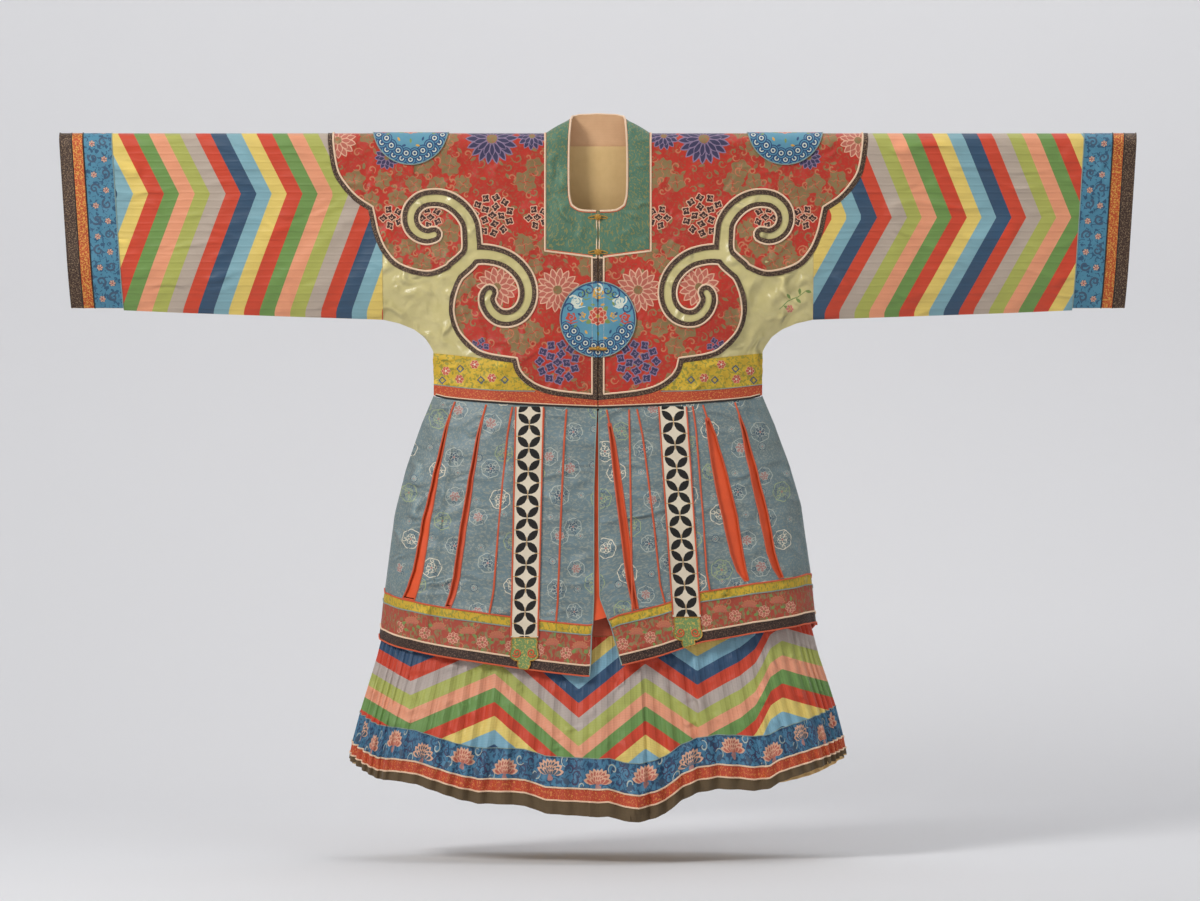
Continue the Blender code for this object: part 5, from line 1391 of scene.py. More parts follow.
    def back(self) -> Cut:
        """The back, in one piece."""
        edge, drawn = yoke_edge(), self.inner_edge()
        neck = joined(down_line(COLLAR_X, 0.0, BODY.fold_quarter), mm((82, 57)))
        half = joined(edge[::-1], neck)
        outline = to_face(joined(half, [(0.0, BACK_NECK_T)], mirrored(half)[::-1]), Face.BACK)
        braid = to_face(joined(edge, mirrored(edge)[::-1], mirrored(drawn), drawn[::-1]), Face.BACK)
        zones = self.figures(Side.LEFT, Face.BACK) + self.figures(Side.RIGHT,
                                                                  Face.BACK) + [Zone(braid, BRAID)]
        for side in Side:
            zones += [Zone(to_face(zone.line, Face.BACK), zone.finish) for zone in self.slit_zones(side)]
        return cut_cloth(inset(outline, HALF_SEAM), "red_damask", zones, self.spacing)

    def build(self) -> None:
        """Sew the yoke, its braid and its piping."""
        for place in ("front_left", "front_right", "back"):
            cut = self.back() if place == "back" else self.front(Side.LEFT if "left" in place else Side.RIGHT)
            silk, braid = cut.without(BRAID, OPEN), cut.only(BRAID)
            hang_cloth("yoke_silk_" + place, BODY.place, silk, YOKE_FOOT, CLOTH, "tan_lining", "red_brocade",
                       "yoke_" + place)
            hang_cloth("yoke_braid_" + place, BODY.place, braid, YOKE_FOOT, BAND_CLOTH, BRAID,
                       "brown_metal_braid", "yoke_band_" + place, strip=BAND)
            reds = sorted(set(silk.finishes))
            lines = [BODY.place(line, BAND_CLOTH + 0.4 * MM) for line in cut.border((BRAID,), reds)]
            lay_piping("yoke_piping_" + place, lines, 1.9, "cream_piping", "red_brocade")


@dataclass
class UnderarmAndWaist:
    """The satin under the yoke, the yellow waist panel, the red strip and the piping of the waist seam."""
    spacing: float = 7 * MM

    def satin(self) -> Line:
        """The satin's cut on the right front, which runs on beneath the yoke and fills its slits."""
        lower = BODY.closed_line[3:9]
        hidden = mm((213, 451), (150, 436), (112, 385), (104, 310), (130, 240), (200, 214), (216, 150),
                    (246, 118),
                    (322, 112), (384, 138), (398, 180), (400, 240))
        return joined(lower, mm((266, 445)), hidden, [(ARMHOLE_X, 246 * MM)],
                      down_line(ARMHOLE_X, ARMHOLE_TOP_T, ARMHOLE_END_T))

    @staticmethod
    def waist_line(first_x: float) -> Line:
        """The waist seam from first_x to the side, dipping to the centre."""
        x = np.linspace(first_x, SIDE_X, 14)
        share = x / SIDE_X
        dip = 0.6 * np.sqrt(np.maximum(0, 1 - share ** 2)) + 0.4 * (1 - share)
        return np.stack([x, SIDE_WAIST_T + (CENTRE_WAIST_T - SIDE_WAIST_T) * dip], axis=1)

    def build(self) -> None:
        """Cut and sew every piece on both sides and both faces."""
        edge = yoke_edge()
        yellow = joined(yoke_edge(ROW_YELLOW_TOP, ROW_RED_TOP),
                        mm((190, 512.5), (250, 508), (319, 500), (319, 439),
                           (266, 445)))
        upper = joined(mm((319, 500), (250, 508), (190, 512.5)), yoke_edge(ROW_RED_TOP, 23))
        red = joined(upper[upper[:, 0] > OPENING + 8 * MM], [(OPENING, edge[-1][1])],
                     self.waist_line(OPENING))
        red_back = joined(upper, mirrored(upper)[::-1], mirrored(self.waist_line(0.0))[::-1],
                          self.waist_line(0.0))
        for side in Side:
            for face in Face:
                place = face.word + "_" + side.word
                shape = (side.value, face.value)
                cut = cut_cloth(self.satin() * shape, "chartreuse_satin", self.sprig(side, face),
                                self.spacing)
                hang_cloth("underarm_satin_" + place, BODY.place, cut, 0.0, SATIN, "tan_lining",
                           "chartreuse_satin", "underarm_" + place)
                cut = cut_cloth(inset(yellow * shape, HALF_SEAM), "yellow_brocade",
                                self.yellow_figures(side, face),
                                self.spacing)
                hang_cloth("waist_brocade_" + place, BODY.place, cut, 0.2 * MM, CLOTH, "tan_lining",
                           "yellow_brocade", "waist_yellow_" + place)
            cut = cut_cloth(inset(red * (side.value, 1), HALF_SEAM), "red_brocade_strip", [], self.spacing)
            hang_cloth("waist_strip_front_" + side.word, BODY.place, cut, 0.0, CLOTH, "tan_lining",
                       "red_silk",
                       "waist_red_front_" + side.word)
        cut = cut_cloth(inset(to_face(red_back, Face.BACK), HALF_SEAM), "red_brocade_strip", [], self.spacing)
        hang_cloth("waist_strip_back", BODY.place, cut, 0.0, CLOTH, "tan_lining", "red_silk",
                   "waist_red_back")
        self.pipe()

    @staticmethod
    def sprig(side: Side, face: Face) -> List[Zone]:
        """A faint leafy sprig on the right front satin."""
        if side is Side.LEFT or face is Face.BACK:
            return []
        pattern = Pattern()
        stem = np.array([(352, 352), (368, 338), (388, 330), (404, 318)])
        pattern.add(band_along(stem, (1.4, 2.0, 1.2)), "leaf_green_floss")
        for x, t, turn in ((360, 346, 0.5), (374, 334, -2.2), (384, 332, 0.7), (392, 326, -1.6),
                           (402, 318, 0.2)):
            pattern.add(leaf(0, 13, 6), "leaf_green_floss", x, t, turn)
        pattern.flower(372, 352, 8, 6, "rose_floss", "pale_silk_weft", "flower_gold_floss")
        return pattern.zones

    @staticmethod
    def yellow_figures(side: Side, face: Face) -> List[Zone]:
        """Small flowers and lozenges on the yellow brocade."""
        pattern = Pattern()
        for x, t in ((238, 462), (294, 474), (205, 488), (268, 490)):
            pattern.flower(x, t, 9, 6, "flower_red_floss", "pale_silk_weft", "white_silk_weft")
        for x, t in ((266, 470), (180, 492), (226, 492), (302, 492)):
            pattern.add(disc(8, 4), "slate_silk_weft", x, t)
            pattern.add(disc(5, 4), "yellow_brocade", x, t)
        return pattern.moved(side.value, face.value)

    def pipe(self) -> None:
        """Piping along the waist seam and the top of the red strip."""
        for face in Face:
            for side in Side:
                place = face.word + "_" + side.word
                seam = self.waist_line(OPENING) * (side.value, face.value)
                seam = resampled(seam, 6 * MM)[:-1]
                black = BODY.place(seam - (0, 0.6 * MM * face.value), CLOTH + 0.5 * MM)
                lay_piping("waist_piping_black_" + place, [black], 1.7, "black_piping", "red_silk")
                cream = BODY.place(seam - (0, 3.6 * MM * face.value), CLOTH + 0.3 * MM)
                lay_piping("waist_piping_cream_" + place, [cream], 1.1, "cream_piping", "red_silk")
                top = joined(mm((318, 500), (250, 508), (190, 512.5), (122, 514))) * (side.value, face.value)
                line = BODY.place(resampled(curve_through(top, 4), 6 * MM), CLOTH + 0.2 * MM)
                lay_piping("waist_piping_grey_" + place, [line], 0.9, "blue_piping", "red_silk")


# Sleeves

@dataclass
class Sleeve:
    """A striped sleeve with its blue cuff and braid edges.

    Args:
        side: which arm.
        apex_t: how far down the stripes turn, millimetres.
        apex_shift: how far out they have run by then.
        bottom_shift: how far out they lie at the bottom seam.
        start: where the first stripe starts at the fold.
        pitch: width of a stripe.
        bottom_t: depth of the bottom seam that bottom_shift is given at.
        spacing: size of the cloth's triangles, in metres.
    """
    side: Side
    apex_t: float
    apex_shift: float
    bottom_shift: float
    start: float
    pitch: float
    bottom_t: float = 356
    spacing: float = 9 * MM

    @staticmethod
    def bottom(x: np.ndarray) -> np.ndarray:
        """Depth of the sleeve's lower seam at x."""
        line = BODY.closed_line[:4][::-1]
        return np.interp(x, line[:, 0], line[:, 1])

    def cuff_place(self, chart: np.ndarray, height: float) -> np.ndarray:
        """Carry cuff points to space: x at the fold, leaning in towards the bottom."""
        lean = CUFF_SLANT * np.abs(chart[:, 1]) / self.bottom(np.abs(chart[:, 0]))
        x = np.sign(chart[:, 0]) * (np.abs(chart[:, 0]) - lean)
        return BODY.place(np.stack([x, chart[:, 1]], axis=1), height)

    def stripe_share(self, chart: np.ndarray) -> np.ndarray:
        """The stripe coordinate at cloth points, a whole number at each stripe's edge."""
        shift = np.interp(np.abs(chart[:, 1]) / MM, (0, 12, self.apex_t, self.bottom_t),
                          (0, 0, self.apex_shift, self.bottom_shift))
        return (np.abs(chart[:, 0]) / MM - shift - self.start) / self.pitch + 90

    def build(self) -> None:
        """Cut the striped cloth and the cuff, and pipe the cuff's seams."""
        inner = joined(yoke_edge(0, ROW_ARMHOLE), down_line(ARMHOLE_X, ARMHOLE_TOP_T, ARMHOLE_END_T))
        xs = np.linspace(0.43, STRIPES_END - CUFF_SLANT, 40)
        bottom = np.stack([xs, self.bottom(xs)], axis=1)
        deep = self.bottom(np.array([STRIPES_END]))[0]
        ts = np.linspace(deep, -deep, 60)
        outer = np.stack([STRIPES_END - CUFF_SLANT * np.abs(ts) / deep, ts], axis=1)
        outline = joined(to_face(inner, Face.BACK)[::-1], inner, bottom, outer,
                         to_face(bottom, Face.BACK)[::-1])
        rows = [np.array([(0.53, t), (STRIPES_END - CUFF_SLANT, t)]) * (self.side.value, 1)
                for t in (self.apex_t * MM, -self.apex_t * MM, 0.0)]
        rows = [row[np.argsort(row[:, 0])] for row in rows]
        cut = cut_cloth(inset(outline * (self.side.value, 1), HALF_SEAM), "striped_silk", [], self.spacing,
                        rows)
        sleeve = sew("sleeve_silk_" + self.side.word, BODY.place, cut, 0.0, CLOTH, "tan_lining")
        used = cut.points[np.unique(cut.triangles)]
        share = self.stripe_share(np.vstack([used, used]))
        add_layer(sleeve, "stripes", np.stack([share, share * 0], axis=1))
        hang(sleeve, cut, "striped_silk", "sleeve_" + self.side.word)
        self.cuff()

    def cuff(self) -> None:
        """The blue cuff, its gold and brown braids, and the cords between them."""
        deep = self.bottom(np.array([CUFF_END]))[0] - HALF_SEAM
        ts = np.linspace(-deep, deep, 110)
        for name, slot, node, spans in (
                ("cuff_brocade_", "blue_cuff_silk", "cuff_blue_",
                 ((STRIPES_END, CUFF_BLUE_END, "blue_cuff_brocade"),)),
                ("cuff_braids_", "gold_brown_braid", "cuff_edge_",
                 ((CUFF_BLUE_END, CUFF_GOLD_END, "gold_red_braid"),
                  (CUFF_GOLD_END, CUFF_END, BRAID)))):
            start, end = spans[0][0] + SEAM, spans[-1][1]
            outline = joined(down_line(start, -deep, deep), down_line(end, deep, -deep))
            zones = [Zone(joined(down_line(a, -deep, deep), down_line(b, deep, -deep)) * (self.side.value, 1),
                          finish)
                     for a, b, finish in spans[1:]]
            if node == "cuff_blue_":
                zones = self.cuff_figures()
            cut = cut_cloth(outline * (self.side.value, 1), spans[0][2], zones, 7 * MM)
            piece = sew(name + self.side.word, self.cuff_place, cut, 0.0, CLOTH + 0.4 * MM, "tan_lining")
            hang(piece, cut, slot, node + self.side.word)
        for x, radius, finish in ((STRIPES_END, 1.0, "blue_piping"), (CUFF_BLUE_END, 1.4, "black_piping"),
                                  (CUFF_GOLD_END, 1.0, "black_piping"),
                                  (CUFF_END - 1 * MM, 1.3, "brown_metal_braid")):
            line = self.cuff_place(np.stack([np.full(len(ts), x * self.side.value), ts], axis=1),
                                   CLOTH + 0.5 * MM)
            lay_piping(f"cuff_cord_{x / MM:.0f}_{self.side.word}", [line], radius, finish, "gold_brown_braid")

    def cuff_figures(self) -> List[Zone]:
        """Scrolls and florets on the blue cuff."""
        pattern = Pattern()
        middle = (STRIPES_END + CUFF_BLUE_END) / 2 / MM
        for k, t in enumerate(np.arange(-330, 340, 30)):
            x = middle + (11 if k % 2 else -11)
            pattern.add(band_along(spiral(10, 1.1, k * 1.9, 14), (4.2, 3.4, 2.6)), "slate_silk_weft", x, t)
            pattern.flower(2 * middle - x, t + 3, 6.5, 6, "pale_silk_weft", "slate_silk_weft",
                           "flower_red_floss", k)
        return pattern.moved(self.side.value)


# Collar, lining and badges

@dataclass
class Collar:
    """The green collar with its pink facing, its piping, and the tan lining that shows through the neck.

    Args:
        rows: outer end x and t, neck end x and t, and how far the neck end stands out and up, millimetres.
        corners: rows that stay sharp, counted round both halves.
        spans: spans between two rows.
        across: points across the collar.
    """
    rows: Tuple[Tuple[float, ...], ...] = (
        (0.8, 254.8, 0.8, 164, 0, 0), (52, 248, 34, 162, 0, 0), (102.7, 241.7, 51, 152, 0, 0),
        (102.7, 184.6, 56, 130, 0, 0), (102.7, 84.6, 57, 80, 0, 0), (102.6, 34.6, 56, 34.6, 3, 12),
        (102.2, 11.5, 53, 11.5, 4, 24), (101.8, -11.5, 51, -11.5, 2, 33), (101.4, -34.6, 47, -34.6, 6, 58),
        (80.6, -55.4, 36, -40, 9, 67), (42, -58.9, 19, -42, 11, 70), (0, -62.2, 0, -42, 12, 71))
    corners: Tuple[int, ...] = (0, 2, 20, 22)
    spans: int = 8
    across: int = 15

    def surface(self) -> Tuple[np.ndarray, np.ndarray]:
        """Inner points and outward normals, as rows round the collar by columns across it."""
        table = np.array(self.rows)
        table = np.vstack([table, table[-2::-1] * (-1, 1, -1, 1, 1, 1)])
        smooth = curve_through(table, self.spans, self.corners) * MM
        start = BODY.inner(smooth[:, 0], smooth[:, 1])
        end = BODY.inner(smooth[:, 2], smooth[:, 3])
        end[:, 1:] += smooth[:, 4:6]
        shares = np.linspace(0, 1, self.across)[None, :, None]
        grid = start[:, None] * (1 - shares) + end[:, None] * shares
        bow = np.sin(math.pi * shares) * 1.6 * MM
        normal = np.cross(np.gradient(grid, axis=0), np.gradient(grid, axis=1))
        normal /= np.maximum(np.linalg.norm(normal, axis=2), 1e-9)[..., None]
        facing = ((grid - (0, 0, -0.06)) * normal).sum(axis=2)
        normal *= np.where(facing < 0, -1, 1)[..., None]
        return grid + normal * bow, normal

    def build(self) -> None:
        """Sew the collar, its piping and the lining."""
        grid, normal = self.surface()
        rows, wide = grid.shape[:2]
        length = np.concatenate([[0], np.cumsum(np.linalg.norm(np.diff(grid[:, wide // 2], axis=0), axis=1))])
        cut = grid_cut(np.linspace(0, 0.055, wide), length, "green_gilt_brocade")

        def place(chart: np.ndarray, height: float) -> np.ndarray:
            """The grid's points in order, raised."""
            return (grid + normal * height).reshape(-1, 3)

        hang_cloth("collar_brocade", place, cut, 0.0, CLOTH, "pink_facing", "green_brocade", "collar")
        for name, column, radius in (("neck", -1, 2.1), ("outer", 0, 1.9)):
            line = grid[:, column] + normal[:, column] * (CLOTH + (0.2 if column else 0.5) * MM)
            keep = slice(2, -2) if column == 0 else slice(1, -1)
            lay_piping("collar_piping_" + name, [line[keep]], radius, "cream_piping", "green_brocade")
            shift = grid[:, column] * 0.94 + grid[:, wide // 2] * 0.06 + normal[:,
                                                                                column] * (CLOTH + 0.2 * MM)
            lay_piping("collar_line_" + name, [shift[keep]], 0.9, "orange_piping", "green_brocade")
        ts = np.linspace(255, 170, 12) * MM
        for side in Side:
            line = BODY.place(np.stack([np.full(12, side.value * 2.6 * MM), ts], axis=1), CLOTH + 0.4 * MM)
            lay_piping("collar_edge_piping_" + side.word, [line], 1.6, "cream_piping", "green_brocade")
        lining = grid_cut(np.linspace(-0.1, 0.1, 15), np.linspace(-0.235, -0.035, 18), "tan_lining")
        hang_cloth("lining_cotton_back", BODY.place, lining, -1.4 * MM, -0.4 * MM, "tan_lining", "tan_lining",
                   "lining_back")


@dataclass
class Badges:
    """Round embroidered badges: waves along the foot, clouds above, a flower in the middle.

    Args:
        radius: of a badge, millimetres.
        chest_t: depth of the chest and back badges below the shoulder fold, millimetres.
        shoulder_x: how far out the shoulder badges lie, millimetres.
    """
    radius: float = 74
    chest_t: float = 375
    shoulder_x: float = 364

    def figures(self, x: float, t: float, upright: int = 1) -> List[Zone]:
        """The badge's figures round a centre; upright is -1 where down the cloth is up the robe."""
        pattern = Pattern()
        r = self.radius
        pattern.add(disc(r, 48), "wave_navy_floss", x, t)
        pattern.add(disc(r * 0.94, 48), "badge_blue_floss", x, t)
        for row, (reach, count) in enumerate(((0.84, 11), (0.68, 8))):
            for k in range(count):
                angle = math.pi / 2 + (k - (count - 1) / 2) * 0.27 * (1 + 0.2 * row)
                wx, wt = r * reach * math.cos(angle) * 1.02, r * (reach * math.sin(angle) + 0.02)
                for size, finish in ((11.5, "wave_navy_floss"), (9.2, "badge_blue_floss"),
                                     (7.6, "wave_navy_floss"),
                                     (4.6, "cloud_white_floss"), (2.6, "wave_navy_floss")):
                    pattern.add(disc(size, 16), finish, x + wx, t + upright * wt)
        for cx, ct, size, finish in ((-40, -34, 11, "cloud_white_floss"), (40, -34, 11, "cloud_white_floss"),
                                     (0, -52, 10, "flower_gold_floss"), (-52, -4, 9, "flower_red_floss"),
                                     (52, -4, 9, "flower_red_floss"), (-24, -50, 7, "leaf_green_floss"),
                                     (24, -50, 7, "leaf_green_floss"), (-30, -8, 6, "flower_gold_floss"),
                                     (30, -8, 6, "flower_gold_floss")):
            pattern.add(lobed(size, 5, 0.2, cx), finish, x + cx, t + upright * ct)
            pattern.add(band_along(spiral(size * 0.72, 1.1, cx, 12), (2.2, 1.6, 1.2)), "badge_blue_floss",
                        x + cx,
                        t + upright * ct)
            pattern.add(band_along(np.array([(-size, 3), (0, 7), (size * 1.4, 4)]), (1.0, 3.0, 1.0)), finish,
                        x + cx,
                        t + upright * (ct + 5))
        for k in range(9):
            angle = math.pi * (1.12 + 0.095 * k)
            reach = 0.8 * r
            pattern.add(band_along(spiral(10, 1.2, angle, 14), (3.4, 2.6, 1.6)),
                        ("wave_navy_floss", "cloud_white_floss", "wave_navy_floss")[k % 3],
                        x + reach * math.cos(angle),
                        t + upright * reach * math.sin(angle))
        for k in range(14):
            angle, reach = k * 0.45 + 0.2, r * (0.44 if k % 2 else 0.56)
            pattern.add(leaf(0, 9, 4.6), ("leaf_green_floss", "wave_navy_floss", "flower_gold_floss")[k % 3],
                        x + reach * math.cos(angle), t + reach * math.sin(angle), angle * 3)
        for turn in (0.5, 2.6, 3.9, 5.5):
            pattern.add(leaf(12, 15, 9), "leaf_green_floss", x, t - 6 * upright, turn)
        pattern.flower(x, t - 6 * upright, 19, 9, "flower_red_floss", "pale_silk_weft", "flower_gold_floss",
                       0.2, 1.2)
        return pattern.zones

    def build(self) -> None:
        """Lay the chest, back and shoulder badges on the yoke."""
        low, high = CLOTH + LAID_ON_GAP, CLOTH + LAID_ON_GAP + LAID_ON_CLOTH
        plan = [("chest_left", 0, self.chest_t, 1), ("chest_right", 0, self.chest_t, 1),
                ("back", 0, -self.chest_t, -1),
                ("shoulder_left", -self.shoulder_x, 0, 1), ("shoulder_right", self.shoulder_x, 0, 1)]
        for name, x, t, upright in plan:
            outline = disc(self.radius, 72) * MM + np.array((x, t)) * MM
            lift = 0.0
            if "chest" in name:
                side = -1 if "left" in name else 1
                outline = outline[outline[:, 0] * side > OPENING * 1.5]
                order = np.argsort(outline[:, 1])
                ends = outline[order]
                outline = joined(ends, [(side * OPENING, ends[-1][1]), (side * OPENING, ends[0][1])])
                lift = 0.7 * MM
            cut = cut_cloth(outline, "badge_blue_floss", self.figures(x, t, upright), 5 * MM)
            piece = sew("badge_floss_" + name, BODY.place, cut, low + lift, high + lift, "badge_blue_floss")
            own(piece, "badge_embroidery", "badge_" + name)
            rim = disc(self.radius - 0.8, 72) * MM + np.array((x, t)) * MM
            if "chest" in name:
                rim = rim[rim[:, 0] * side > OPENING * 2]
                rim = rim[np.argsort(rim[:, 1])]
            else:
                rim = np.vstack([rim, rim[:2]])
            line = BODY.place(rim, high + lift)
            lay_piping("badge_rim_" + name, [line], 1.1, "blue_piping", "badge_embroidery")


# Peplum

@dataclass(frozen=True)
class Slit:
    """A pleat opening of the peplum: x at its ends, levels of its ends, and widths, in millimetres."""
    top_x: float
    top_level: float
    bottom_x: float
    bottom_level: float
    top_width: float
    middle_width: float
    bottom_width: float

    def outline(self, face: Face) -> Line:
        """The slit as a closed line in the peplum's chart."""
        share = np.linspace(0, 1, 9)
        level = self.top_level + (self.bottom_level - self.top_level) * share
        middle = self.top_x + (self.bottom_x - self.top_x) * share
        width = self.top_width * (1 - share) + self.bottom_width * share
        fuller = self.middle_width - (self.top_width + self.bottom_width) / 2
        width = width + fuller * 4 * share * (1 - share)
        left, right = (PEPLUM.chart(edge_angle(middle + half, level, face), level) for half in (-width / 2,
                                                                                                width / 2))
        return np.vstack([left, right[::-1]])


def edge_angle(x: np.ndarray, level: np.ndarray, face: Face = Face.FRONT) -> np.ndarray:
    """The angle at which a level of the peplum reaches x, in millimetres, on the front or the back."""
    level = np.atleast_1d(np.asarray(level, float))
    angle = np.arcsin(np.clip(np.asarray(x) / PEPLUM.ring(level)[:, 0], -1, 1))
    return math.pi - angle if face is Face.BACK else angle


LEFT_SLITS = (Slit(-284, 0.5, -364, 4.93, 2, 13, 25), Slit(-222, 0.5, -286, 4.93, 2, 10, 10))
RIGHT_SLITS = (Slit(22, 0.5, 74, 4.9, 5, 14, 7), Slit(210, 0.5, 284, 4.8, 6, 27, 7),
               Slit(272, 0.5, 350, 4.9, 2, 16, 8))
BACK_SLITS = (Slit(-288, 0.5, -365, 4.9, 2, 17, 16), Slit(-216, 0.5, -282, 4.9, 2, 16, 10),
              Slit(-54, 0.5, -84, 4.9, 2, 12, 9), Slit(66, 0.5, 98, 4.9, 2, 13, 9),
              Slit(216, 0.5, 280, 4.9, 2, 17, 12),
              Slit(284, 0.5, 360, 4.9, 2, 17, 14))
SLITS = {"front_left": LEFT_SLITS, "front_right": RIGHT_SLITS, "back": BACK_SLITS}
RIGHT_EDGE = (2, 2, 2, 2, 4, 20, 26, 40, 46)
YELLOW_LEVEL, RED_LEVEL, DARK_LEVEL, HEM_LEVEL = 5.0, 6.0, 7.0, 8.0


@dataclass
class Peplum:
    """The blue walls with pleat slits over orange silk, their orange piping, and the three borders.

    Args:
        seams: orange seam lines, as front x at the waist and at the yellow border, millimetres.
        spacing: size of the cloth's triangles.
        seed: which scatter of roundels.
    """
    seams: Tuple[Tuple[float, float], ...] = ((-164, -210), (-104, -116), (-60, -80),
                                              (60, 66), (74, 130), (128, 160), (182, 216))
    spacing: float = 9 * MM
    seed: int = 5

    def edge_line(self, side: Side, start: float, end: float, count: int = 24) -> Line:
        """The centre edge of a front between two levels, in the chart."""
        level = np.linspace(start, end, count)
        if side is Side.RIGHT:
            x = np.interp(level, np.arange(9), RIGHT_EDGE)
        else:
            x = -2 - 6 * np.minimum(1, level / 2) - 2 * np.maximum(0, level - 4)
        return PEPLUM.chart(edge_angle(x, level), level)

    def panel(self, place: str, start: float, end: float) -> Line:
        """The outline of a panel between two levels, in the chart."""
        levels = np.linspace(start, end, 24)
        far = PEPLUM.side_angle
        if place == "back":
            near = PEPLUM.chart(np.full(24, math.pi - far), levels)
            other = PEPLUM.chart(np.full(24, math.pi + far), levels)
            return joined(near, other[::-1])
        side = Side.RIGHT if "right" in place else Side.LEFT
        near, other = self.edge_line(side, start, end), PEPLUM.chart(np.full(24, side.value * far), levels)
        return joined(near, other[::-1])

    def figures(self, face: Face) -> List[Zone]:
        """Round flower figures in half-drop rows, and small ones between them."""
        draw = np.random.RandomState(self.seed + face.value)
        zones = []
        pitch = (90, 45) if face is Face.FRONT else (108, 60)
        for row, (x, z) in enumerate(scattered((-400, -930), (410, -520), pitch, 15, draw)):
            pattern = Pattern()
            edge, fill = (("mist_silk_weft", "dusk_blue_weft"), ("white_silk_weft", "peplum_brocade"),
                          ("mist_silk_weft", "dusk_rose_weft"),
                          ("sage_silk_weft", "peplum_brocade"))[row * 7 % 4]
            radius = draw.uniform(16, 20)
            pattern.add(lobed(radius, 7, 0.05, row, 28), edge)
            pattern.add(lobed(radius - 1.5, 7, 0.05, row, 28), "peplum_brocade")
            for k in range(5):
                angle = row + k * math.pi * 2 / 5
                pattern.add(band_along(spiral(radius * 0.3, 0.95, angle, 7), (1.0, 1.6, 1.2)),
                            edge if k % 2 else
                            "dusk_blue_weft", radius * 0.7 * math.cos(angle), radius * 0.7 * math.sin(angle))
            pattern.flower(0, 0, radius * 0.56, 6, fill, edge, "dusk_rose_weft", row, 1.05)
            small = Pattern()
            small.add(disc(draw.uniform(5, 8), 12), "dusk_blue_weft")
            small.flower(0, 0, 6.5, 5, "peplum_brocade", "mist_silk_weft", "dusk_rose_weft", row)
            for shape, sx, sz in ((pattern, x, z),
                                  (small, x + 44 + draw.uniform(-5, 5), z + draw.uniform(-6, 6))):
                zones += shape.moved(x=sx * MM, t=sz * MM)
        return self.charted(zones, face)

    @staticmethod
    def charted(zones: Sequence[Zone], face: Face) -> List[Zone]:
        """Figures placed in front view, carried to the peplum's chart; those past its sides are left out."""
        fit = [zone for zone in zones if np.abs(zone.line[:, 0]).max() < 0.39]
        if not fit:
            return []
        lines = PEPLUM.seen_at(np.vstack([zone.line for zone in fit]), face)
        ends = np.cumsum([len(zone.line) for zone in fit])[:-1]
        return [Zone(line, zone.finish) for line, zone in zip(np.split(lines, ends), fit)]

    def border_figures(self, face: Face) -> List[Zone]:
        """A running row of outlined flowers and leaves on the red border."""
        zones = []
        for k, x in enumerate(np.arange(-385, 395, 27)):
            level = np.array([(RED_LEVEL + DARK_LEVEL) / 2])
            middle = PEPLUM.inner(edge_angle(float(x), level, face), level)[0]
            pattern = Pattern()
            drop = 8 if k % 2 else -9
            if k % 2:
                pattern.lotus(0, 4, 13, "pink_silk_weft", "tan_silk_weft", "olive_gilt_weft")
            else:
                pattern.flower(0, 0, 12, 8, "pink_silk_weft", "pale_silk_weft", "olive_gilt_weft", k)
            for turn in (0.3, 1.9, 3.4, 5.0):
                pattern.add(leaf(11, 10, 6), "leaf_green_floss" if turn < 3 else "olive_gilt_weft", 0, 0,
                            turn + k)
            pattern.add(band_along(spiral(8, 0.9, k, 10), (1.2, 2.0, 1.2)), "tan_silk_weft", 13, -1.8 * drop)
            zones += pattern.moved(down=-1, x=x * MM, t=middle[2] + drop * MM)
        return self.charted(zones, face)

    def build(self) -> None:
        """Sew the walls, the orange silk, the borders and their piping."""
        for place in ("front_left", "front_right", "back"):
            face = Face.BACK if place == "back" else Face.FRONT
            slits = SLITS[place]
            outline = self.panel(place, 0.015, YELLOW_LEVEL - 0.003)
            zones = self.figures(face) + [Zone(slit.outline(face), OPEN) for slit in slits]
            cut = cut_cloth(outline, "peplum_brocade", zones, self.spacing).without(OPEN)
            hang_cloth("peplum_silk_" + place, PEPLUM.place, cut, 0.0, CLOTH, "salmon_silk", "blue_brocade",
                       "peplum_" + place)
            rims = [PEPLUM.place(resampled(slit.outline(face), 8 * MM, closed=True), CLOTH + 0.4 * MM)
                    for slit in slits]
            lay_piping("peplum_slit_piping_" + place, rims, 1.5, "orange_piping", "orange_silk")
            for name, start, end, finish, slot, node in (
                    ("peplum_yellow_", YELLOW_LEVEL, RED_LEVEL, "yellow_brocade", "yellow_brocade",
                     "border_yellow_"),
                    ("peplum_floral_", RED_LEVEL, DARK_LEVEL, "floral_red_brocade", "floral_red",
                     "border_red_"),
                    ("peplum_braid_", DARK_LEVEL, HEM_LEVEL, "black_brown_braid", "black_brown_braid",
                     "border_dark_")):
                figures = self.border_figures(face) if "floral" in name else []
                cut = cut_cloth(self.panel(place, start + 0.004, end - 0.004), finish, figures, 8 * MM)
                hang_cloth(name + place, PEPLUM.place, cut, 0.0, CLOTH, "salmon_silk", slot, node + place)
            self.pipe(place, face)
        for face in Face:
            turn = 0.0 if face is Face.FRONT else math.pi
            levels = np.array([0.45, 1.0, 2.0, 3.0, 4.0, 4.85])
            back_set = (1.1, 3.0, 3.8, 3.8, 3.6, 1.7)
            us = np.linspace(-1.18, 1.18, 90) + turn
            chart = PEPLUM.chart(us, 0.0)[:, 0]
            rows = PEPLUM.chart(0.0, np.linspace(0.45, 4.85, 50))[:, 1]
            cut = grid_cut(chart, rows, "orange_silk")

            def behind(points: np.ndarray, height: float) -> np.ndarray:
                """Set the silk back from the blue walls."""
                _, level = PEPLUM.unchart(points)
                outer, inner = PEPLUM.place(points, height), PEPLUM.place(points, height - 1 * MM)
                return outer + (inner - outer) * np.interp(level, levels, back_set)[:, None]

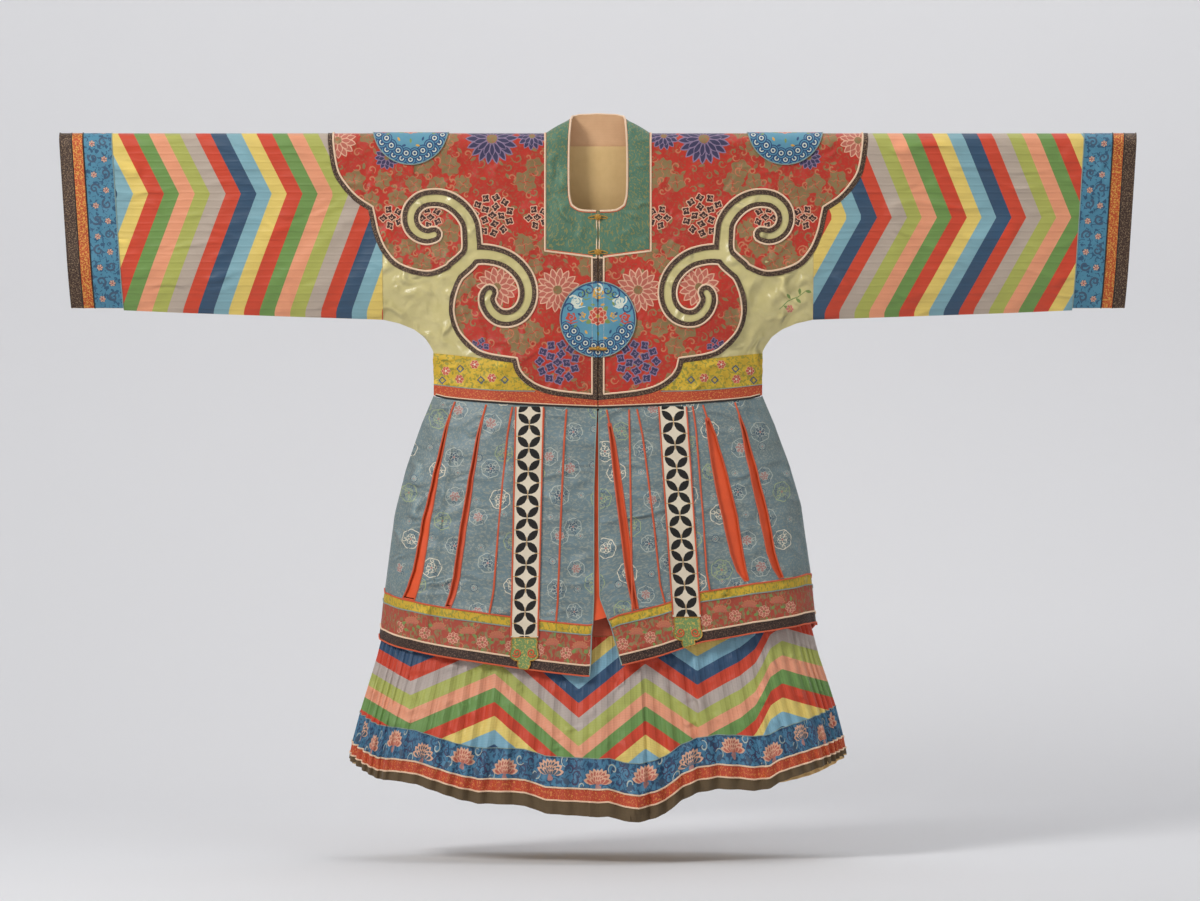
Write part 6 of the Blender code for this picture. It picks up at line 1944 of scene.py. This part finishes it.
            hang_cloth("pleat_silk_" + face.word, behind, cut, -1.0 * MM, 0.0, "salmon_silk", "orange_silk",
                       "pleat_cloth_" + face.word)

    def pipe(self, place: str, face: Face) -> None:
        """Piping along the borders, the centre edge and the seam lines."""
        side = Side.RIGHT if "right" in place else Side.LEFT
        for level, radius, finish in ((YELLOW_LEVEL, 1.6, "orange_piping"), (RED_LEVEL, 1.2, "blue_piping"),
                                      (DARK_LEVEL, 1.8, "cream_piping"),
                                      (HEM_LEVEL - 0.03, 1.6, "orange_piping")):
            if face is Face.BACK:
                angle = np.linspace(math.pi - PEPLUM.side_angle, math.pi + PEPLUM.side_angle, 130)
            else:
                first = edge_angle(np.interp(level, np.arange(9), RIGHT_EDGE) if side is Side.RIGHT else
                                   -8 - 2 * max(0.0, level - 4), level)[0]
                angle = np.linspace(first, side.value * PEPLUM.side_angle, 70)
            line = PEPLUM.place(PEPLUM.chart(angle, level), CLOTH + 0.5 * MM)
            lay_piping(f"peplum_piping_{level:.0f}_{place}", [line], radius, finish, "orange_silk")
        if face is Face.BACK:
            xs = [pair for pair in self.seams if all(abs(pair[0] - slit.top_x) > 20 for slit in BACK_SLITS)]
        else:
            xs = [pair for pair in self.seams if pair[0] * side.value > 0]
        lines = []
        for top, bottom in xs:
            level = np.linspace(0.1, YELLOW_LEVEL - 0.05, 30)
            x = top + (bottom - top) * ((level / YELLOW_LEVEL) ** 0.9)
            lines.append(PEPLUM.place(PEPLUM.chart(edge_angle(x, level, face), level), CLOTH + 0.6 * MM))
        for slit in SLITS[place]:
            level = np.linspace(0.08, slit.top_level + 0.1, 5)
            run = (slit.bottom_x - slit.top_x) / (slit.bottom_level - slit.top_level)
            angle = edge_angle(slit.top_x + run * (level - slit.top_level), level, face)
            lines.append(PEPLUM.place(PEPLUM.chart(angle, level), CLOTH + 0.6 * MM))
        lay_piping("peplum_seam_piping_" + place, lines, 1.9, "orange_piping", "orange_silk")
        if face is Face.FRONT:
            line = PEPLUM.place(self.edge_line(side, 0.1, HEM_LEVEL - 0.05, 60), CLOTH)
            lay_piping("peplum_edge_piping_" + side.word, [line], 1.3, "blue_piping", "blue_brocade")


@dataclass
class CoinRibbon:
    """A white ribbon with black coin petals, orange piping and a green cloud pendant, millimetres.

    Args:
        side: which front it hangs on.
        top_x: its middle at the waist.
        bottom_x: its middle at its end.
        end_level: the peplum's level where it ends.
        width: of the ribbon.
        unit: from a coin to the next.
        first_joint: where the first two coins meet.
        gap: between the ribbon and the peplum.
    """
    side: Side
    top_x: float
    bottom_x: float
    end_level: float
    width: float = 54
    unit: float = 45
    first_joint: float = 39
    gap: float = 1.5

    def view(self, flat: np.ndarray) -> np.ndarray:
        """Ribbon coordinates, across and down in metres, as x and z in front view."""
        top_x, bottom_x = self.top_x * MM, self.bottom_x * MM
        top = PEPLUM.inner(edge_angle(self.top_x, 0.0), np.array([0.0]))[0][2]
        share = flat[:, 1] / (self.length() * MM)
        return np.stack([top_x + (bottom_x - top_x) * share + flat[:, 0], top - flat[:, 1]], axis=1)

    def length(self) -> float:
        """Way down the front from the waist to the ribbon's end."""
        heights = [PEPLUM.inner(edge_angle(x, level), np.array([level]))[0][2]
                   for x, level in ((self.top_x, 0.0), (self.bottom_x, self.end_level))]
        return (heights[0] - heights[1]) / MM

    def place(self, flat: np.ndarray, height: float) -> np.ndarray:
        """Carry ribbon coordinates to space."""
        return PEPLUM.place(PEPLUM.seen_at(self.view(flat)), height)

    def coins(self, length: float) -> List[Zone]:
        """Black petals in rings round white stars, the whole way down."""
        pattern = Pattern()
        half = self.unit / 2
        petal = leaf(1.2, half * math.sqrt(2) - 2.4, 14.5, 0.5)
        for k in range(-1, int(length / self.unit) + 1):
            joint = self.first_joint + k * self.unit
            for t, turns in ((joint, (0.25, 0.75)), (joint + self.unit, (-0.25, -0.75))):
                for turn in turns:
                    pattern.add(petal, "ribbon_black_velvet", 0, t, turn * math.pi)
        return pattern.zones

    def build(self) -> None:
        """Sew the ribbon, its piping and its pendant."""
        low = CLOTH + self.gap * MM
        high = low + LAID_ON_CLOTH
        length, half = self.length(), self.width / 2
        outline = np.array([(-half, 4), (half, 4), (half, length), (-half, length)]) * MM
        cut = cut_cloth(outline, "ribbon_white_silk", self.coins(length), 6 * MM)
        piece = sew("ribbon_silk_" + self.side.word, self.place, cut, low, high, "ribbon_white_silk")
        hang(piece, cut, "white_ribbon", "ribbon_" + self.side.word)
        down = np.arange(5, length, 5) * MM
        lines = [self.place(np.stack([np.full(len(down), s * (half - 0.5) * MM), down], axis=1),
                            high - 0.2 * MM)
                 for s in (-1, 1)]
        lay_piping("ribbon_piping_" + self.side.word, lines, 1.7, "orange_piping", "white_ribbon")
        ties = []
        for joint in np.arange(self.first_joint, length - 8, self.unit):
            ties.append(self.place(np.array([(0.0, joint + d) for d in (-8, -3, 3, 8)]) * MM,
                                   high + 0.1 * MM))
            for s in (-1, 1):
                row = [(s * (self.unit / 2 + d), joint + self.unit / 2) for d in (-6, -2, 1, 4)]
                if row[0][1] < length - 4:
                    ties.append(self.place(np.array(row) * MM, high + 0.1 * MM))
        lay_piping("ribbon_gilt_lines_" + self.side.word, ties, 0.6, "gilt_cord", "white_ribbon")
        self.pendant(length, low, high)

    def pendant(self, length: float, low: float, high: float) -> None:
        """The green cloud at the ribbon's end, with orange curls."""
        shape = np.array([(-26, 0), (26, 0), (28, 8), (27, 20), (30, 30), (29, 40), (20, 47), (13, 48),
                          (14, 55),
                          (9, 64), (0, 67), (-9, 64), (-14, 55), (-13, 48), (-20, 47), (-29, 40), (-30, 30),
                          (-27, 20),
                          (-28, 8)], float)
        shape = curve_through(np.vstack([shape, shape[:1]]), 3, (0, 1, 19))[:-1] * (0.9, 0.93) + (0,
                                                                                                  length + 1)
        cut = cut_cloth(shape * MM, "pendant_green_silk", [], 5 * MM)
        piece = sew("pendant_silk_" + self.side.word, self.place, cut, low, high, "pendant_green_silk")
        own(piece, "green_pendant", "pendant_" + self.side.word)
        curls = []
        for s in (-1, 1):
            curl = spiral(9, 1.5, 0.4, 26) * (s, 1) + (s * 14.5, length + 30)
            curls.append(self.place(curl * MM, high + 0.4 * MM))
        edge = resampled(np.vstack([shape, shape[:1]]) * MM, 4 * MM)
        lay_piping("pendant_curls_" + self.side.word, curls, 1.4, "orange_piping", "green_pendant")
        lay_piping("pendant_edge_" + self.side.word, [self.place(edge, high)], 1.1, "gilt_cord",
                   "green_pendant")


# Underskirt

@dataclass
class Underskirt:
    """The salmon top, the striped cloth in peaks, the lotus and red bands, the taupe hem and their piping.

    Args:
        peaks: front x and z where the lime and peach stripes meet, millimetres.
        stripe: height of a stripe, millimetres.
        columns: columns of cloth points on each half.
        peach: number of the stripe whose upper edge follows the peaks.
    """
    peaks: Tuple[Tuple[float, float], ...] = (
        (-499, -1045), (-362, -1115), (-199, -1045), (-37, -1183), (91, -1080), (191, -1148), (236, -1123),
        (275, -1103), (304, -1080), (317, -1057), (333, -1026), (356, -1011), (391, -1022), (453, -1040),
        (500, -1060))
    stripe: float = 27.0
    columns: int = 360
    peach: int = 5

    def rows(self, start: float, end: float, face: Face, step: float) -> Cut:
        """An even grid on one face between two levels."""
        turn = 0.0 if face is Face.FRONT else math.pi
        far = UNDERSKIRT.side_angle
        us = UNDERSKIRT.chart(np.linspace(-far, far, self.columns) + turn, 0.0)[:, 0]
        ends = UNDERSKIRT.chart(0.0, np.array([start, end]))[:, 1]
        return grid_cut(us, np.linspace(ends[0], ends[1], max(3, int((ends[1] - ends[0]) / step))),
                        "striped_skirt_silk")

    def build(self) -> None:
        """Sew each band on the front and the back."""
        around = np.linspace(-math.pi / 2, 1.5 * math.pi, 240)
        us = UNDERSKIRT.chart(around, 0.0)[:, 0]
        cut = grid_cut(us, UNDERSKIRT.chart(0.0, np.linspace(0, 3.996, 40))[:, 1], "salmon_silk")
        hang_cloth("underskirt_silk_top", UNDERSKIRT.place, cut, 0.0, CLOTH, "tan_lining", "salmon_silk",
                   "underskirt_top")
        for face in Face:
            for name, start, end, finish, slot in (("chevron_", 4.003, 5.9985, "striped_skirt_silk",
                                                    "striped_silk"),
                                                   ("lotus_band_", 6.0015, 6.997, "lotus_blue_brocade",
                                                    "lotus_blue"),
                                                   ("red_band_", 7.006, 7.994, "red_brocade_strip",
                                                    "red_silk"),
                                                   ("hem_", 8.006, 9.0, "taupe_cotton", "taupe_cotton")):
                cut = self.rows(start, end, face, 6 * MM)
                cut.finishes[:] = finish
                if name == "lotus_band_":
                    cut = self.lotus_band(start, end, face)
                piece = sew(name + "silk_" + face.word, UNDERSKIRT.place, cut, 0.0, CLOTH, "tan_lining")
                if name == "chevron_":
                    self.stripe_layer(piece)
                hang(piece, cut, slot, name + face.word)
            turn = 0.0 if face is Face.FRONT else math.pi
            angles = np.linspace(-UNDERSKIRT.side_angle, UNDERSKIRT.side_angle, self.columns) + turn
            for level, radius, finish in ((6.0, 0.9, "blue_piping"), (7.0, 1.7, "cream_piping"),
                                          (8.0, 1.7, "cream_piping")):
                line = UNDERSKIRT.place(UNDERSKIRT.chart(angles, level), CLOTH + 0.5 * MM)
                lay_piping(f"skirt_piping_{level:.0f}_{face.word}", [line], radius, finish, "red_silk", 5)

    def stripe_layer(self, piece: bpy.types.Object) -> None:
        """Write the stripe coordinate of each point, which follows the peaks across the front."""
        places = np.zeros(len(piece.data.vertices) * 3, np.float32)
        piece.data.vertices.foreach_get("co", places)
        places = places.reshape(-1, 3) / MM
        line = np.array(self.peaks)
        share = self.peach + (np.interp(places[:, 0], line[:, 0], line[:, 1]) - places[:, 2]) / self.stripe
        add_layer(piece, "stripes", np.stack([share + 90, share * 0], axis=1))

    def lotus_band(self, start: float, end: float, face: Face) -> Cut:
        """The blue band with a row of lotus flowers."""
        turn = 0.0 if face is Face.FRONT else math.pi
        far = UNDERSKIRT.side_angle
        lows = UNDERSKIRT.chart(np.array([-far, far]) + turn, start)
        highs = UNDERSKIRT.chart(np.array([-far, far]) + turn, end)
        outline = np.vstack([lows, highs[::-1]])
        pattern = Pattern()
        middle = (lows[0][1] + highs[0][1]) / 2 / MM
        for k, u in enumerate(np.linspace(lows[0][0], lows[1][0], 17)[1:-1] / MM):
            drop = middle + (5 if k % 2 else -5)
            for s in (-1, 1):
                for step, finish in ((34, "navy_silk_weft"), (26, "mist_silk_weft"), (42, "navy_silk_weft")):
                    pattern.add(band_along(spiral(9, 0.9, k + s + step, 11), (1.0, 2.2, 1.2)), finish,
                                u + step * s,
                                drop + (step - 33) * 1.7 * s)
                pattern.add(leaf(0, 15, 8), "slate_silk_weft", u + 22 * s, drop + 12,
                            math.pi / 2 * (1 - s) + 0.6 * s)
            pattern.lotus(u, drop + 7, 19, "pink_silk_weft" if k % 3 else "dusk_blue_weft", "pale_silk_weft",
                          "dusk_rose_weft")
        return cut_cloth(outline, "lotus_blue_brocade", pattern.zones, 5 * MM)


# Fastenings

@dataclass
class Fastenings:
    """Knot buttons of gilt cord with their loops, and the toggle bar at the chest.

    Args:
        buttons: the frame's nodes that the knots stand for.
    """
    buttons: Tuple[str, ...] = ("button_neck", "button_collar")

    @staticmethod
    def centre(node: str) -> Vector:
        """The middle of a CAD node."""
        low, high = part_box(node)
        return (Vector(low) + Vector(high)) / 2

    @staticmethod
    def knot(name: str, middle: Vector, half: Tuple[float, float, float]) -> bpy.types.Object:
        """A round knot wound from cord: a ball whose faces are drawn into strands.

        Args:
            name: the piece's name.
            middle: its centre.
            half: its half sizes in millimetres.

        Returns:
            The knot.
        """
        bpy.ops.object.select_all(action="DESELECT")
        bpy.ops.mesh.primitive_ico_sphere_add(subdivisions=5, radius=1.0, location=(0, 0, 0))
        thing = bpy.context.object
        thing.name = name
        for vertex in thing.data.vertices:
            x, y, z = vertex.co
            strand = abs(math.sin(5 * math.atan2(z, x) + 7 * y)) ** 0.5
            vertex.co = Vector((x * half[0], y * half[1], z * half[2])) * MM * (0.84 + 0.16 * strand)
            vertex.co += middle
        thing.data.materials.append(FINISHES["gilt_cord"].material())
        thing.data.uv_layers[0].name = "cut"
        bpy.ops.object.shade_smooth()
        return thing

    def build(self) -> None:
        """Make the knots, their loops and the toggle bar."""
        for name in self.buttons:
            middle = self.centre(name)
            own(self.knot(name + "_knot", middle, (7, 4.2, 6)), "gold_cord", name)
            for side in Side:
                reach = np.array([(2, 1.2, 0), (7, 2.2, 2.5), (13, 3.0, 1.5), (19, 3.4, -1), (13, 3.2, -3),
                                  (6, 2.6, -2.5)]) * (side.value, 1, 1) * MM
                line = curve_through(reach, 5) + np.array(middle)
                lay_piping(f"{name}_loop_{side.word}", [line], 1.1, "gilt_cord", "gold_cord")
        middle = self.centre("toggle_bar")
        bar = np.array([(-17, 0.6, 0), (-12, 0, 0.4), (0, -0.2, 0), (12, 0, -0.4), (17, 0.6, 0)]) * MM
        own(lay_cords("toggle_bar_cord", [curve_through(bar, 8) + np.array(middle)], 3.0 * MM, "gilt_cord",
                      12),
            "gold_cord", "toggle_bar")
        own(self.knot("toggle_knot", middle + Vector((0, -1.0 * MM, 1 * MM)), (4.5, 3.6, 4.5)), "gold_cord")


# Floor, backdrop, light and camera

@dataclass
class Studio:
    """A pale seamless floor and backdrop, soft light from the upper left, and the camera.

    Args:
        floor_z: height of the floor, in metres.
        wall_y: place of the wall behind the robe.
        bend: radius of the bend between floor and wall.
        reach: how far the paper runs to the sides and to the front.
        distance: from the camera to the robe's middle plane.
        view_width: width of the picture at that plane.
        aim: the point that the camera looks at.
        paper: colour of the paper.
        sky: colour of the light from all round.
        sky_strength: its strength.
    """
    floor_z: float = -1.41
    wall_y: float = 2.6
    bend: float = 1.2
    reach: float = 9.0
    distance: float = 9.0
    view_width: float = 2.321
    aim: Tuple[float, float, float] = (0.004, -0.06, -0.616)
    paper: str = "#e4e4e6"
    sky: str = "#eef0f4"
    sky_strength: float = 0.24

    def backdrop(self) -> bpy.types.Object:
        """One sheet of paper: floor, bend and wall, clear from behind, so that it never hides the robe."""
        section = [(-self.reach, 0.0)]
        section += [(self.wall_y - self.bend + self.bend * math.sin(a), self.bend * (1 - math.cos(a)))
                    for a in np.linspace(0, math.pi / 2, 24)]
        section.append((self.wall_y, 7.0))
        points = [(x, y, self.floor_z + z) for x in (-self.reach, self.reach) for y, z in section]
        count = len(section)
        faces = [(count + k, count + k + 1, k + 1, k) for k in range(count - 1)]
        mesh = bpy.data.meshes.new("backdrop")
        mesh.from_pydata(points, [], faces)
        mesh.shade_smooth()
        paper = bpy.data.materials.new("backdrop_paper")
        paper.use_nodes = True
        tree = paper.node_tree
        shader = tree.nodes["Principled BSDF"]
        shader.inputs["Base Color"].default_value = linear(self.paper)
        shader.inputs["Roughness"].default_value = 0.9
        clear = add_node(tree, "ShaderNodeBsdfTransparent").outputs["BSDF"]
        behind = add_node(tree, "ShaderNodeNewGeometry").outputs["Backfacing"]
        seen = add_node(tree, "ShaderNodeMixShader", None, {0: behind, 1: shader.outputs["BSDF"], 2: clear})
        tree.links.new(seen.outputs["Shader"], tree.nodes["Material Output"].inputs["Surface"])
        mesh.materials.append(paper)
        thing = bpy.data.objects.new("backdrop", mesh)
        bpy.context.scene.collection.objects.link(thing)
        return thing

    @staticmethod
    def lamp(name: str, place: Tuple[float, float, float], size: float, power: float,
             towards: Tuple[float, float, float] = (0, 0, -0.6)) -> bpy.types.Object:
        """A square soft light aimed at a point."""
        data = bpy.data.lights.new(name, "AREA")
        data.size, data.energy = size, power
        thing = bpy.data.objects.new(name, data)
        thing.location = place
        thing.rotation_euler = (Vector(towards) - Vector(place)).to_track_quat("-Z", "Y").to_euler()
        bpy.context.scene.collection.objects.link(thing)
        return thing

    def build(self) -> None:
        """Set up the room, the light and the camera."""
        lamps = [self.lamp("key_light", (-3.4, -3.4, 2.4), 1.5, 172),
                 self.lamp("fill_light", (3.6, -4.6, 0.8), 3.4, 36),
                 self.lamp("top_light", (0.0, -0.8, 3.6), 4.5, 30),
                 self.lamp("wall_light", (1.6, 0.5, 3.0), 4.0, 62,
                           (1.2, 2.6, 0.4))]
        self.backdrop()
        world = bpy.context.scene.world or bpy.data.worlds.new("world")
        bpy.context.scene.world = world
        world.use_nodes = True
        world.node_tree.nodes["Background"].inputs["Color"].default_value = linear(self.sky)
        world.node_tree.nodes["Background"].inputs["Strength"].default_value = self.sky_strength
        bpy.context.scene.view_settings.view_transform = "Standard"
        camera = bpy.data.cameras.new("camera")
        camera.sensor_width = 36
        camera.lens = camera.sensor_width * self.distance / self.view_width
        thing = bpy.data.objects.new("camera", camera)
        thing.location = (self.aim[0], self.aim[1] - self.distance, self.aim[2])
        thing.rotation_euler = (math.pi / 2, 0, 0)
        bpy.context.scene.collection.objects.link(thing)
        bpy.context.scene.camera = thing


def main() -> None:
    """Build every sub-assembly in order."""
    logging.basicConfig(level=logging.INFO, format="%(name)s: %(message)s")
    Studio().build()
    for part in (CloudYoke(), UnderarmAndWaist(),
                 Sleeve(Side.LEFT, apex_t=130, apex_shift=-60, bottom_shift=25, start=723, pitch=29.9),
                 Sleeve(Side.RIGHT, apex_t=176, apex_shift=66, bottom_shift=-35, start=446.5, pitch=29.0),
                 Collar(), Badges(), Peplum(), CoinRibbon(Side.LEFT, -132, -142, 6.3),
                 CoinRibbon(Side.RIGHT, 144, 172, 6.35, first_joint=34), Underskirt(), Fastenings()):
        part.build()
        LOG.info("built %s", type(part).__name__)


if __name__ == "__main__":
    main()
